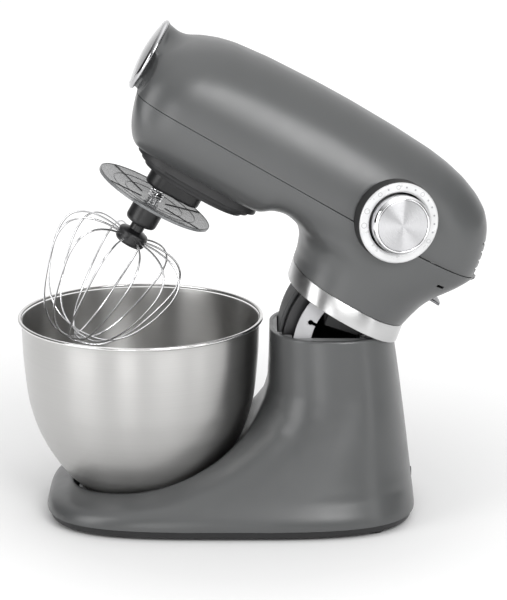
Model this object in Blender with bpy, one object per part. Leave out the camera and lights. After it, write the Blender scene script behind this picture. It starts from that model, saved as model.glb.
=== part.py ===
"""Tilt-head stand mixer with a steel bowl and a wire whisk, head raised at rest."""
import math

import bpy
import numpy as np
from mathutils import Vector

# ---------------------------------------------------------------- dimensions, millimetres
MM = 0.001
GAP = 0.3  # clearance between pieces that touch
WALL = 3.0  # moulded shell thickness

BOWL_X = -105.2  # bowl axis, also the planetary axis with the head down
HINGE_X = 110.0
HINGE_Z = 165.0
HEAD_TILT = 30.0  # degrees the head is raised at rest

# base and column, stations from the sole up: height, front x, rear x, half width, exponent
BASE_STATIONS = (
    (10.0, -194.5, 153.6, 113.0, 3.4),
    (16.0, -193.4, 153.0, 112.6, 3.35),
    (21.0, -190.0, 152.4, 111.0, 3.3),
    (25.0, -182.5, 151.9, 109.0, 3.25),
    (29.0, -166.0, 151.3, 107.0, 3.2),
    (34.0, -140.0, 150.7, 104.6, 3.0),
    (41.0, -110.0, 149.9, 101.6, 2.9),
    (50.0, -82.0, 148.8, 98.0, 2.75),
    (62.0, -52.0, 147.3, 93.4, 2.62),
    (76.0, -26.0, 145.6, 88.4, 2.52),
    (92.0, -4.0, 143.5, 82.9, 2.45),
    (108.0, 8.8, 141.3, 78.0, 2.4),
    (124.0, 13.8, 139.2, 73.9, 2.36),
    (150.0, 14.4, 135.4, 69.1, 2.34),
    (178.0, 14.4, 131.2, 65.2, 2.34),
)
SOLE_Z = 3.0
SHELL_FOOT_Z = 10.0
COLUMN_TOP_Z = 178.0
SEAT_FLOOR_Z = 12.0
COLLAR_CLEAR = 12.9  # distance from the hinge axis to the cut on the column's rear rim

# bowl, outer profile from the foot up: radius, height
BOWL_PROFILE = (
    (46.0, 17.6),
    (51.0, 19.0),
    (57.0, 22.4),
    (63.0, 27.2),
    (68.5, 32.6),
    (74.5, 39.4),
    (80.5, 47.4),
    (91.0, 64.5),
    (99.4, 83.0),
    (104.0, 98.0),
    (107.4, 115.0),
    (110.6, 148.0),
    (111.7, 176.0),
    (112.2, 183.0),
)
BOWL_SHEET = 1.2
RIM_TUBE = 1.75
RIM_Z = 185.0

# head, in the lowered position
SEAM_Z = 266.0
HEAD_FRONT = -196.5
HEAD_REAR = 162.0
HEAD_MID = -10.0
HEAD_HALF = 66.0
NOSE_FLAT = 37.0  # half width of the flat front face
NOSE_CORNER = 46.0  # length over which the nose widens to full width
TOP_LINE = (
    (-196.5, 321.0), (-190.0, 321.8), (-184.0, 324.4), (-178.0, 328.2), (-168.0, 333.8),
    (-153.0, 339.6), (-138.0, 343.2), (-105.0, 346.8), (-54.0, 349.4), (-19.0, 350.0),
    (30.0, 349.2), (68.0, 347.2), (88.0, 344.6), (108.0, 340.0), (126.0, 333.0),
    (140.0, 324.6), (150.0, 313.0), (156.6, 299.5), (160.4, 285.0), (162.0, 273.0),
)
HULL_LINE = (
    (-196.5, 265.9), (-192.8, 253.5), (-187.9, 238.6), (-179.0, 224.4), (-171.7, 219.6),
    (-160.0, 218.4), (-60.0, 219.2), (-44.0, 221.8), (-36.0, 229.6), (-25.0, 233.2),
    (0.0, 233.6), (110.0, 234.0), (140.0, 238.0), (150.0, 248.0), (158.6, 260.0), (162.0, 265.9),
)
NECK_STATIONS = (
    (195.4, 9.9, 128.8, 63.4, 2.34),
    (205.0, 7.9, 130.8, 63.8, 2.34),
    (216.8, 3.4, 134.0, 64.2, 2.34),
    (224.0, -1.6, 137.0, 64.5, 2.36),
    (229.5, -8.0, 140.0, 64.8, 2.4),
    (233.4, -18.0, 142.4, 65.0, 2.45),
    (240.0, -36.0, 146.8, 65.3, 2.5),
    (250.0, -58.0, 152.8, 65.6, 2.5),
    (261.0, -84.0, 157.6, 65.8, 2.5),
)
COLLAR = ((178.4, 13.6, 131.6, 65.4, 2.34), (195.0, 9.9, 128.8, 63.6, 2.34))

ARM_HALF = 48.0  # outer face of the two tilt plates
ARM_LOW = -27.0  # lower end of the arms below the horizontal, head down
ARM_HIGH = 20.2

# planetary drive, head down
TRIM_HOLE = 33.0
BEATER_ORBIT = 26.0
GEAR_MODULE = 1.3
RING_TEETH = 52
PLANET_TEETH = 12
FINAL_GEAR_TEETH = 60
FINAL_PINION_TEETH = 12
FINAL_MODULE = 1.25
GEAR_LASH = 0.42
MOTOR_X = 72.0
MOTOR_PULLEY_R = 8.0
LAY_PULLEY_R = 32.0

# knob, head down
KNOB_AT = (66.2, -72.5, 286.3)
KNOB_AXIS = (0.2270, -0.9655, 0.1270)
BEZEL_R = 37.4
KNOB_R = 27.0

# cap over the front attachment hub
CAP_Z = 295.4
CAP_R = 35.6

# whisk, head down: radius and height of the cage outline, crown to tip
WHISK_LINE = (
    (10.5, 137.5), (30.0, 138.4), (48.0, 135.0), (60.0, 126.0), (64.0, 113.0),
    (62.4, 97.0), (55.0, 72.0), (46.0, 51.0), (34.0, 35.0), (20.0, 26.0), (0.0, 22.0),
)
WIRE_R = 0.95
WIRE_LOOPS = 6
DISC_R = 58.0
DISC_Z = 177.4

PARTS = bpy.data.collections.new("stand_mixer")
CUTTERS = bpy.data.collections.new("cutters")


# ---------------------------------------------------------------- helpers
def material(name, colour, rough, metal=0.0):
    mat = bpy.data.materials.new(name)
    mat.use_nodes = True
    shader = mat.node_tree.nodes["Principled BSDF"]
    shader.inputs["Base Color"].default_value = (*colour, 1.0)
    shader.inputs["Roughness"].default_value = rough
    shader.inputs["Metallic"].default_value = metal
    mat.diffuse_color = (*colour, 1.0)
    return mat


def volume(verts, faces):
    total = 0.0
    for face in faces:
        a = verts[face[0]]
        for i in range(1, len(face) - 1):
            total += np.dot(a, np.cross(verts[face[i]], verts[face[i + 1]]))
    return total


def make(name, verts, faces, mat=None, parent=None, sharp=35.0):
    """A closed mesh, vertices in millimetres, as a part or, without a material, a cutter."""
    verts = np.asarray(verts, float)
    if volume(verts, faces) < 0:
        faces = [tuple(reversed(f)) for f in faces]
    mesh = bpy.data.meshes.new(name)
    mesh.from_pydata((verts * MM).tolist(), [], [tuple(int(i) for i in f) for f in faces])
    mesh.validate()
    mesh.shade_smooth()
    mesh.set_sharp_from_angle(angle=math.radians(sharp))
    obj = bpy.data.objects.new(name, mesh)
    if mat is None:
        CUTTERS.objects.link(obj)
        obj.hide_render = True
        obj.display_type = "WIRE"
    else:
        mesh.materials.append(mat)
        PARTS.objects.link(obj)
    if parent is not None:
        obj.parent = parent
    return obj


def boolean(obj, cutter, operation="DIFFERENCE"):
    mod = obj.modifiers.new(cutter.name, "BOOLEAN")
    mod.operation = operation
    mod.solver = "EXACT"
    mod.object = cutter


def loft(rings, closed=False):
    """Skins a list of equal rings; capped at both ends, or closed into a tube."""
    n = len(rings[0])
    verts = np.vstack(rings)
    faces = []
    spans = len(rings) if closed else len(rings) - 1
    for k in range(spans):
        a = k * n
        b = ((k + 1) % len(rings)) * n
        for i in range(n):
            j = (i + 1) % n
            faces.append((a + i, a + j, b + j, b + i))
    if not closed:
        faces.append(tuple(range(n - 1, -1, -1)))
        faces.append(tuple(range((len(rings) - 1) * n, len(rings) * n)))
    return verts, faces


def revolve(profile, segs=32, at=(0.0, 0.0, 0.0), axis="z"):
    """Turns a closed (radius, height) outline about an axis through a point."""
    verts = []
    rows = []
    for r, h in profile:
        if r < 1e-6:
            rows.append([len(verts)] * segs)
            verts.append((0.0, 0.0, h))
            continue
        rows.append(list(range(len(verts), len(verts) + segs)))
        for k in range(segs):
            a = 2 * math.pi * k / segs
            verts.append((r * math.cos(a), r * math.sin(a), h))
    faces = []
    for k, row in enumerate(rows):
        nxt = rows[(k + 1) % len(rows)]
        if row[0] == row[1] and nxt[0] == nxt[1]:
            continue
        for i in range(segs):
            j = (i + 1) % segs
            face = []
            for v in (row[i], row[j], nxt[j], nxt[i]):
                if v not in face:
                    face.append(v)
            faces.append(tuple(face))
    return turn(np.array(verts), axis) + np.array(at), faces


def turn(verts, axis):
    """Lays a shape built along z along another axis."""
    if axis == "x":
        return verts[:, [2, 0, 1]]
    if axis == "y":
        return verts[:, [1, 2, 0]]
    return verts


def cylinder(r, lo, hi, segs=32, at=(0.0, 0.0, 0.0), axis="z"):
    return revolve([(0, lo), (r, lo), (r, hi), (0, hi)], segs, at, axis)


def ring(r_in, r_out, lo, hi, segs=32, at=(0.0, 0.0, 0.0), axis="z"):
    return revolve([(r_in, lo), (r_out, lo), (r_out, hi), (r_in, hi)], segs, at, axis)


def prism(outline, lo, hi, axis="z"):
    """An outline in the plane across an axis, extruded along it."""
    flat = np.array(outline, float)
    rings = [np.column_stack([flat, np.full(len(flat), h)]) for h in (lo, hi)]
    verts, faces = loft(rings)
    if axis == "y":
        verts = verts[:, [0, 2, 1]]
    if axis == "x":
        verts = verts[:, [2, 0, 1]]
    return verts, faces


def box(lo, hi):
    (x0, y0, z0), (x1, y1, z1) = lo, hi
    return prism([(x0, y0), (x1, y0), (x1, y1), (x0, y1)], z0, z1)


def power(value, exponent):
    return math.copysign(abs(value) ** exponent, value)


def oval(front, rear, half, n, count=48):
    """Superellipse outline in plan from a front x to a rear x."""
    mid = (front + rear) / 2
    reach = (rear - front) / 2
    pts = []
    for k in range(count):
        a = 2 * math.pi * (k + 0.5) / count
        x = mid + reach * power(math.cos(a), 2 / n)
        pts.append((x, half * power(math.sin(a), 2 / n)))
    return np.array(pts)


def stations(rows, inset=0.0, count=48):
    rings = []
    for z, front, rear, half, n in rows:
        flat = oval(front + inset, rear - inset, half - inset, n, count)
        rings.append(np.column_stack([flat, np.full(count, z)]))
    return rings


def at_height(rows, z):
    """One station read off a stack of stations at a height."""
    table = np.array(rows)
    return tuple([z] + [float(np.interp(z, table[:, 0], table[:, i])) for i in range(1, 5)])


def smooth_line(points, count):
    """Catmull-Rom curve through points."""
    p = np.array(points, float)
    p = np.vstack([2 * p[0] - p[1], p, 2 * p[-1] - p[-2]])
    out = []
    last = len(points) - 1
    for s in np.linspace(0, last, count):
        k = min(int(s), last - 1)
        t = s - k
        a, b, c, d = p[k], p[k + 1], p[k + 2], p[k + 3]
        out.append(
            0.5 * (2 * b + (c - a) * t + (2 * a - 5 * b + 4 * c - d) * t**2
                   + (3 * b - a - 3 * c + d) * t**3)
        )
    return np.array(out)


def tube(path, r, sides=6, closed=False):
    """Round wire along a path, ends capped flat."""
    path = np.asarray(path, float)
    n = len(path)
    if closed:
        tangents = np.roll(path, -1, 0) - np.roll(path, 1, 0)
    else:
        tangents = np.gradient(path, axis=0)
    tangents /= np.linalg.norm(tangents, axis=1)[:, None]
    side = np.cross(tangents[0], (0.0, 0.0, 1.0))
    if np.linalg.norm(side) < 0.1:
        side = np.cross(tangents[0], (1.0, 0.0, 0.0))
    rings = []
    for k in range(n):
        side = side - np.dot(side, tangents[k]) * tangents[k]
        side /= np.linalg.norm(side)
        up = np.cross(tangents[k], side)
        angles = [2 * math.pi * i / sides for i in range(sides)]
        rings.append(
            np.array([path[k] + r * (math.cos(a) * side + math.sin(a) * up) for a in angles])
        )
    return loft(rings, closed)


def gear_outline(teeth, module, inner=False, lash=GEAR_LASH, phase=0.0):
    """Straight-flanked teeth, thinned for backlash."""
    pitch = teeth * module / 2
    add, ded = (0.85, 1.15) if not inner else (1.15, 0.8)
    tip, root = pitch + add * module, pitch - ded * module
    thin = lash / (2 * pitch) if not inner else -lash / (2 * pitch)
    half = math.pi / (2 * teeth) - thin
    lean = math.tan(math.radians(20)) / pitch
    pts = []
    for k in range(teeth):
        mid = phase + 2 * math.pi * k / teeth
        wide = half + lean * (pitch - root)
        narrow = half - lean * (tip - pitch)
        for r, off in ((root, -wide), (tip, -narrow), (tip, narrow), (root, wide)):
            pts.append((r * math.cos(mid + off), r * math.sin(mid + off)))
    return np.array(pts)


def arc_band(r_in, r_out, low, high, steps=12):
    """Sector outline about the hinge axis; angles up from the front horizontal."""
    angles = np.radians(np.linspace(low, high, steps))
    outer = [(HINGE_X - r_out * math.cos(a), HINGE_Z + r_out * math.sin(a)) for a in angles]
    inner = [(HINGE_X - r_in * math.cos(a), HINGE_Z + r_in * math.sin(a)) for a in angles]
    return outer + inner[::-1]


def move(verts, at):
    return np.asarray(verts) + np.array(at)


def empty(name, at=(0, 0, 0), parent=None):
    obj = bpy.data.objects.new(name, None)
    obj.location = [c * MM for c in at]
    PARTS.objects.link(obj)
    obj.parent = parent
    return obj


# ---------------------------------------------------------------- materials
PAINT = material("dark_grey_paint", (0.105, 0.108, 0.108), 0.38)
PAINT_LIGHT = material("top_plate_grey", (0.32, 0.325, 0.33), 0.45)
SOLE = material("sole_black_plastic", (0.018, 0.018, 0.019), 0.6)
RUBBER = material("foot_rubber", (0.02, 0.02, 0.02), 0.85)
BLACK = material("black_plastic", (0.012, 0.012, 0.013), 0.3)
BLACK_MATT = material("matt_black_plastic", (0.02, 0.02, 0.021), 0.6)
ARC_GREY = material("arc_plate_grey", (0.5, 0.5, 0.51), 0.4)
STEEL = material("brushed_steel", (0.62, 0.62, 0.62), 0.3, 1.0)
COLLAR_STEEL = material("collar_brushed_steel", (0.6, 0.6, 0.61), 0.28, 1.0)
CHROME = material("chrome", (0.85, 0.85, 0.86), 0.08, 1.0)
WIRE = material("whisk_wire_steel", (0.75, 0.75, 0.76), 0.15, 1.0)
SILVER = material("silver_plastic", (0.72, 0.73, 0.74), 0.35, 0.3)
SPUN = material("spun_aluminium", (0.8, 0.8, 0.81), 0.25, 1.0)
DISC_CLEAR = material("splash_disc_plastic", (0.42, 0.43, 0.44), 0.2)
CAST = material("cast_aluminium", (0.55, 0.56, 0.57), 0.5, 1.0)
GEAR_STEEL = material("gear_steel", (0.4, 0.4, 0.41), 0.35, 1.0)
NYLON = material("gear_nylon", (0.8, 0.78, 0.7), 0.5)
COPPER = material("motor_windings", (0.55, 0.24, 0.1), 0.4, 1.0)
IRON = material("motor_laminations", (0.25, 0.25, 0.26), 0.5, 1.0)
BELT = material("belt_rubber", (0.015, 0.015, 0.015), 0.8)


# ---------------------------------------------------------------- base
def bowl_curve(count=12):
    return smooth_line(BOWL_PROFILE, count)


def recess_cutter(name, grow):
    """The dished hollow the bowl stands in, wider than the bowl all round."""
    wall = bowl_curve(9)
    pts = [(0.0, SEAT_FLOOR_Z - grow), (64.0 + grow, SEAT_FLOOR_Z - grow)]
    for r, z in wall:
        if z > 27.0:
            pts.append((r + 8.5 + grow, z - 0.6 * grow))
    pts += [(pts[-1][0], 240.0), (0.0, 240.0)]
    verts, faces = revolve(pts, 36, (BOWL_X, 0, 0))
    return make(name, verts, faces)


def base_shell():
    verts, faces = loft(stations(BASE_STATIONS, 0.0, 40))
    shell = make("base_shell", verts, faces, PAINT)
    boolean(shell, recess_cutter("bowl_recess", 0.0))
    low = list(at_height(BASE_STATIONS, SHELL_FOOT_Z))
    low[0] = SHELL_FOOT_Z - 4.0
    high = list(at_height(BASE_STATIONS, COLUMN_TOP_Z))
    high[0] = COLUMN_TOP_Z + 4.0
    core_rows = [tuple(low)] + [row for row in BASE_STATIONS] + [tuple(high)]
    inner = []
    for z, front, rear, half, n in core_rows:
        slope = 6.0 if 20.0 < z < 100.0 else 0.0
        inner.append((z, front + WALL + slope, rear - WALL, half - WALL, n))
    verts, faces = loft(stations(inner[::2] + inner[-1:], 0.0, 28))
    core = make("base_core", verts, faces)
    boolean(core, recess_cutter("bowl_recess_inside", 2.4))
    boolean(shell, core)
    boolean(shell, collar_clearance("rim_clearance"))
    gland_hole = make("gland_hole", *cylinder(6.8, 130.0, 170.0, 24, (0, 0, 30.0), "x"))
    boolean(shell, gland_hole)
    return shell


def collar_clearance(name):
    """Wedge that clears the collar's rear edge when the head is up."""
    t = math.radians(HEAD_TILT)
    nx, nz = math.sin(t), math.cos(t)
    px, pz = HINGE_X + COLLAR_CLEAR * nx, HINGE_Z + COLLAR_CLEAR * nz
    dx, dz = math.cos(t), -math.sin(t)
    pts = [
        (px - 40 * dx, pz - 40 * dz),
        (px + 60 * dx, pz + 60 * dz),
        (px + 60 * dx + 60 * nx, pz + 60 * dz + 60 * nz),
        (px - 40 * dx + 60 * nx, pz - 40 * dz + 60 * nz),
    ]
    return make(name, *prism(pts, -120.0, 120.0, "y"))


def base_sole():
    row = at_height(BASE_STATIONS, SHELL_FOOT_Z)
    outer = [(z,) + row[1:] for z in (SOLE_Z, SHELL_FOOT_Z - GAP)]
    outer[0] = (SOLE_Z, row[1] + 2.0, row[2] - 2.0, row[3] - 2.0, row[4])
    rings = stations(outer, 0.8, 40)
    lid = [(z,) + row[1:] for z in (SHELL_FOOT_Z - GAP, SOLE_Z + 2.5)]
    rings += stations(lid, 4.0, 40)
    return make("base_sole", *loft(rings), SOLE)


def feet():
    for i, x in enumerate((-140.0, 112.0)):
        for j, y in enumerate((-78.0, 78.0)):
            pts = [(0, 0), (9.5, 0), (11.0, 1.0), (12.0, SOLE_Z - GAP), (0, SOLE_Z - GAP)]
            name = "foot_%s_%s" % (("front", "rear")[i], ("near", "far")[j])
            make(name, *revolve(pts, 20, (x, y, 0)), RUBBER)


def bowl_seat():
    """Raised ring with three flanges that hold the bowl's bayonet lugs down."""
    floor = SEAT_FLOOR_Z + GAP
    pts = [(34.0, floor), (60.5, floor), (60.5, 17.6), (57.0, 17.6), (57.0, 14.0), (34.0, 14.0)]
    seat = make("bowl_seat", *revolve(pts, 32, (BOWL_X, 0, 0)), CAST)
    for k in range(3):
        flange = sector("seat_flange_%d" % k, 51.4, 58.5, 16.2, 17.6, 120 * k + 90, 44)
        boolean(seat, flange, "UNION")
    return seat


def sector(name, r_in, r_out, lo, hi, mid, width, mat=None):
    angles = np.radians(np.linspace(mid - width / 2, mid + width / 2, 8))
    outer = [(BOWL_X + r_out * math.cos(a), r_out * math.sin(a)) for a in angles]
    inner = [(BOWL_X + r_in * math.cos(a), r_in * math.sin(a)) for a in angles]
    return make(name, *prism(outer + inner[::-1], lo, hi), mat)


def column_cap():
    """Plate that closes the column's top, slotted for the tilt arms."""
    row = at_height(BASE_STATIONS, COLUMN_TOP_Z)
    rows = [(174.0,) + row[1:], (COLUMN_TOP_Z - 0.4,) + row[1:]]
    cap = make("column_cap", *loft(stations(rows, WALL + GAP, 36)), PAINT_LIGHT)
    half = [(23.2, 28.0), (27.6, 28.0), (27.6, 36.0), (36.8, 40.0), (36.8, 49.3), (150.0, 49.3)]
    outline = half + [(x, -y) for x, y in reversed(half)]
    boolean(cap, make("arm_slot", *prism(outline, 160.0, 190.0)))
    return cap


def hinge_bracket():
    cheek = [(90, 70), (130, 70), (130, 100), (119, 172), (112, 175.5), (101, 172), (94, 110)]
    plate = make("hinge_bracket", *prism(cheek, -28.0, -24.0, "y"), CAST)
    far = make("bracket_cheek", *prism(cheek, 24.0, 28.0, "y"))
    web = make("bracket_web", *box((90.0, -28.0, 70.0), (130.0, 28.0, 76.0)))
    boolean(plate, far, "UNION")
    boolean(plate, web, "UNION")
    bore = make("bracket_bore", *cylinder(6.3, -40, 40, 24, (HINGE_X, 0, HINGE_Z), "y"))
    boolean(plate, bore)
    return plate


def hinge_pin():
    at = (HINGE_X, 0, HINGE_Z)
    make("hinge_pin", *cylinder(6.0, -44.0, 44.0, 24, at, "y"), GEAR_STEEL)


def tilt_spring():
    """Torsion coil round the pin that carries part of the head's weight."""
    turns = 5
    path = []
    for k in range(turns * 9 + 1):
        a = 2 * math.pi * k / 9
        y = -17.0 + 34.0 * k / (turns * 9)
        path.append((HINGE_X + 9.0 * math.cos(a), y, HINGE_Z + 9.0 * math.sin(a)))
    make("tilt_spring", *tube(path, 1.4, 4), GEAR_STEEL)


def cord_gland():
    pts = [(0, 141.0), (9.5, 141.0), (9.5, 144.2), (6.5, 144.2), (6.5, 151.6), (3.6, 151.6),
           (3.6, 148.0), (0, 148.0)]
    make("cord_gland", *revolve(pts, 24, (0, 0, 30.0), "x"), BLACK_MATT)


# ---------------------------------------------------------------- bowl
def bowl():
    outer = bowl_curve()
    tangent = np.gradient(outer, axis=0)
    tangent /= np.linalg.norm(tangent, axis=1)[:, None]
    inner = outer + BOWL_SHEET * np.column_stack([-tangent[:, 1], tangent[:, 0]])
    pts = [(0.0, 17.2), (42.0, 17.2)] + [tuple(p) for p in outer]
    centre_r = outer[-1][0] + RIM_TUBE - 0.3
    for a in np.radians(np.linspace(215, 505, 7)):
        pts.append((centre_r + RIM_TUBE * math.cos(a), RIM_Z + RIM_TUBE * math.sin(a)))
    pts += [tuple(p) for p in inner[::-1]]
    pts += [(42.0, 17.2 + BOWL_SHEET), (0.0, 17.2 + BOWL_SHEET)]
    make("bowl", *revolve(pts, 40, (BOWL_X, 0, 0)), STEEL)


def bowl_foot():
    pts = [(43.0, 14.3), (48.0, 14.3), (48.0, 16.9), (43.0, 16.9)]
    foot = make("bowl_foot", *revolve(pts, 30, (BOWL_X, 0, 0)), STEEL)
    for k in range(3):
        lug = sector("foot_lug_%d" % k, 46.5, 54.5, 14.3, 15.8, 120 * k + 90, 26)
        boolean(foot, lug, "UNION")


# ---------------------------------------------------------------- head shells
def head_half(x):
    """Half width of the head at its seam: flat nose, straight sides, rounder tail."""
    if x < HEAD_FRONT + NOSE_CORNER:
        t = min(max(1 - (x - HEAD_FRONT) / NOSE_CORNER, 0.0), 1.0)
        return NOSE_FLAT + (HEAD_HALF - NOSE_FLAT) * (1 - t**2.3) ** (1 / 2.3)
    t = max(x - HEAD_MID, 0.0) / (HEAD_REAR - HEAD_MID)
    return HEAD_HALF * (1 - min(t, 0.9999) ** 2.7) ** (1 / 2.7)


def head_x(count):
    """Stations along the head, closer together at the nose and tail."""
    front = [HEAD_FRONT + NOSE_CORNER * (1 - math.cos(a)) for a in np.linspace(0, 1.571, 7)]
    mid = np.linspace(HEAD_FRONT + NOSE_CORNER, 60.0, count)[1:]
    rear = [60.0 + (HEAD_REAR - 60.0) * math.sin(a) for a in np.linspace(0, 1.5, 9)[1:]]
    return front + list(mid) + rear


def head_rings(line, inset, xs, half_count, exponent, beyond=0.0):
    """Half-oval cross-sections between the seam and a line above or below it."""
    line = np.array(line)
    up = 1.0 if line[0][1] > SEAM_Z else -1.0
    rings = []
    for x in xs:
        half = head_half(x) * (1 - inset / HEAD_HALF)
        rise = abs(float(np.interp(x, line[:, 0], line[:, 1])) - SEAM_Z)
        rise = max(rise - inset, 0.8)
        sx = HEAD_MID + (x - HEAD_MID) * (1 - inset / 180.0)
        pts = []
        for i in range(half_count):
            a = math.pi * i / (half_count - 1)
            y = half * power(math.cos(a), 2 / exponent)
            z = SEAM_Z + up * (0.06 + rise * power(math.sin(a), 2 / exponent))
            pts.append((sx, y, z))
        if beyond:
            pts += [(sx, -half, SEAM_Z - up * beyond), (sx, half, SEAM_Z - up * beyond)]
        rings.append(np.array(pts))
    return rings


def head_upper_shell(head):
    xs = head_x(7)
    shell = make("head_upper_shell", *loft(head_rings(TOP_LINE, 0.0, xs, 15, 2.3)), PAINT, head)
    nose = [(0.0, -199.0), (33.4, -199.0), (32.8, -195.0), (32.6, -190.0), (34.2, -185.0),
            (34.2, -170.0), (0.0, -170.0)]
    boss = make("nose_boss", *revolve(nose, 36, (0, 0, CAP_Z), "x"), None, head)
    low_box = box((-230.0, -60.0, 200.0), (-150.0, 60.0, SEAM_Z + 0.06))
    below = make("nose_trim", *low_box, None, head)
    boolean(boss, below)
    boolean(shell, boss, "UNION")
    inside = loft(head_rings(TOP_LINE, WALL, xs[::2] + xs[-1:], 11, 2.3, 6.0))
    boolean(shell, make("crown_inside", *inside, None, head))
    boolean(shell, knob_cutter("bezel_hole_upper", BEZEL_R + 0.2, head))
    for k in range(4):
        z = 273.0 + 8.0 * k
        slit = make("vent_%d" % k, *box((140.0, -24.0, z), (175.0, 24.0, z + 3.4)), None, head)
        boolean(shell, slit)
    hub = cylinder(24.3, -215.0, -160.0, 28, (0, 0, CAP_Z), "x")
    boolean(shell, make("hub_hole", *hub, None, head))
    return shell


def hull_rings(inset, beyond):
    """Cross-sections of the lower shell, with extra ones round the arch behind the drive."""
    xs = sorted(set(head_x(6)) | {-187.9, -179.0, -171.7, -52.0, -44.0, -36.0, -30.0, -25.0})
    return head_rings(HULL_LINE, inset, xs, 11, 3.0, beyond)


def head_lower_shell(head):
    hull = make("head_lower_shell", *loft(hull_rings(0.0, 0.0)), PAINT, head)
    neck = make("neck", *loft(stations(NECK_STATIONS, 0.0, 32)), None, head)
    boolean(hull, neck, "UNION")
    inside = make("hull_inside", *loft(hull_rings(WALL, 6.0)), None, head)
    boolean(hull, inside)
    rows = list(NECK_STATIONS)
    rows[0] = (185.0,) + rows[0][1:]
    neck_in = make("neck_inside", *loft(stations(rows[::2], WALL, 24)), None, head)
    boolean(hull, neck_in)
    trim = cylinder(35.2, 205.0, 226.0, 32, (BOWL_X, 0, 0))
    boolean(hull, make("planet_hole", *trim, None, head))
    pocket = cylinder(39.8, 225.7, 240.0, 40, (BOWL_X, 0, 0))
    boolean(hull, make("ring_pocket", *pocket, None, head))
    boolean(hull, knob_cutter("bezel_hole_lower", BEZEL_R + 0.2, head))
    slot = make("lever_slot", *box((120.0, -15.2, 218.4), (152.0, 15.2, 230.4)), None, head)
    boolean(hull, slot)
    dimple = cylinder(2.6, -80.0, -60.0, 14, (-11.1, 0, 247.8), "y")
    boolean(hull, make("screw_dimple", *dimple, None, head))
    return hull


def collar_band(head):
    outer = stations(COLLAR, 0.0, 40)
    inner = stations(COLLAR[::-1], 4.5, 40)
    make("collar_band", *loft(outer + inner, closed=True), COLLAR_STEEL, head)


# ---------------------------------------------------------------- tilt arms and frame
def tilt_arms(head):
    shroud = prism(arc_band(82.6, 86.6, ARM_LOW, ARM_HIGH), -26.5, 26.5, "y")
    make("arc_shroud", *shroud, PAINT, head)
    liner = make("arc_liner", *prism(arc_band(70.5, 82.3, ARM_LOW + 1, ARM_HIGH), -34.5, 34.5, "y"),
                 BLACK, head)
    pocket = prism(arc_band(66.0, 79.0, ARM_LOW - 8, ARM_HIGH + 8), -31.5, 31.5, "y")
    boolean(liner, make("liner_pocket", *pocket, None, head))
    for name, side in (("tilt_plate_near", -1), ("tilt_plate_far", 1)):
        lo, hi = sorted((side * (ARM_HALF - 3.0), side * ARM_HALF))
        plate = make(name, *prism(arc_band(57.0, 73.0, ARM_LOW, ARM_HIGH), lo, hi, "y"),
                     ARC_GREY, head)
        a = math.radians(-4.5)
        nx, nz = HINGE_X - 58.0 * math.cos(a), HINGE_Z + 58.0 * math.sin(a)
        notch = prism([(nx - 4.4, nz - 1.9), (nx + 8, nz - 1.9), (nx + 8, nz + 1.9),
                       (nx - 4.4, nz + 1.9)], lo - 5, hi + 5, "y")
        boolean(plate, make(name + "_notch", *notch, None, head))


def head_frame(head):
    """Casting in the neck: floor plate, hinge lugs down to the pin, and a black skirt."""
    row = at_height(NECK_STATIONS, 198.0)
    flat = oval(row[1] + 8.0, row[2] - 8.0, row[3] - 8.0, 2.34, 32)
    frame = make("head_frame", *prism(flat, 196.0, 201.0), CAST, head)
    lug = [(102.0, 199.0), (99.5, 165.0), (102.5, 157.5), (110.0, 154.5), (116.5, 157.5),
           (118.5, 163.0), (116.0, 178.0), (116.0, 199.0)]
    for name, lo, hi in (("lug_near", -34.0, -29.0), ("lug_far", 29.0, 34.0)):
        boolean(frame, make(name, *prism(lug, lo, hi, "y"), None, head), "UNION")
    bore = cylinder(6.3, -50, 50, 24, (HINGE_X, 0, HINGE_Z), "y")
    boolean(frame, make("frame_bore", *bore, None, head))
    skirt = [(57.2, 195.7), (57.6, 180.0), (60.5, 162.0), (94.0, 169.0), (94.0, 195.7)]
    make("arm_cover", *prism(skirt, -40.0, 40.0, "y"), BLACK_MATT, head)


# ---------------------------------------------------------------- drive
def motor(head, rotor):
    make("motor_stator", *ring(21.0, 34.0, 210.0, 262.0, 32, (MOTOR_X, 0, 0)), IRON, head)
    pts = [(0, 204.0), (4.0, 204.0), (4.0, 214.0), (20.0, 214.0), (20.0, 258.0), (4.0, 258.0),
           (4.0, 300.0), (0, 300.0)]
    make("motor_rotor", *revolve(pts, 28, (MOTOR_X, 0, 0)), COPPER, rotor)
    pulley = [(4.3, 284.0), (10.5, 284.0), (10.5, 285.2), (MOTOR_PULLEY_R, 285.2),
              (MOTOR_PULLEY_R, 291.2), (10.5, 291.2), (10.5, 292.4), (4.3, 292.4)]
    make("motor_pulley", *revolve(pulley, 16, (MOTOR_X, 0, 0)), GEAR_STEEL, rotor)
    fan = make("motor_fan", *ring(4.3, 9.0, 266.0, 276.0, 20, (MOTOR_X, 0, 0)), BLACK_MATT, rotor)
    for k in range(7):
        a = 2 * math.pi * k / 7
        c, s = math.cos(a), math.sin(a)
        pts = [(7.0, -0.9), (25.0, 2.6), (25.0, 4.4), (7.0, 0.9)]
        flat = [(MOTOR_X + c * x - s * y, s * x + c * y) for x, y in pts]
        boolean(fan, make("fan_blade_%d" % k, *prism(flat, 266.8, 275.2), None, rotor), "UNION")


def lay_x():
    return BOWL_X + FINAL_MODULE * (FINAL_GEAR_TEETH + FINAL_PINION_TEETH) / 2


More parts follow.
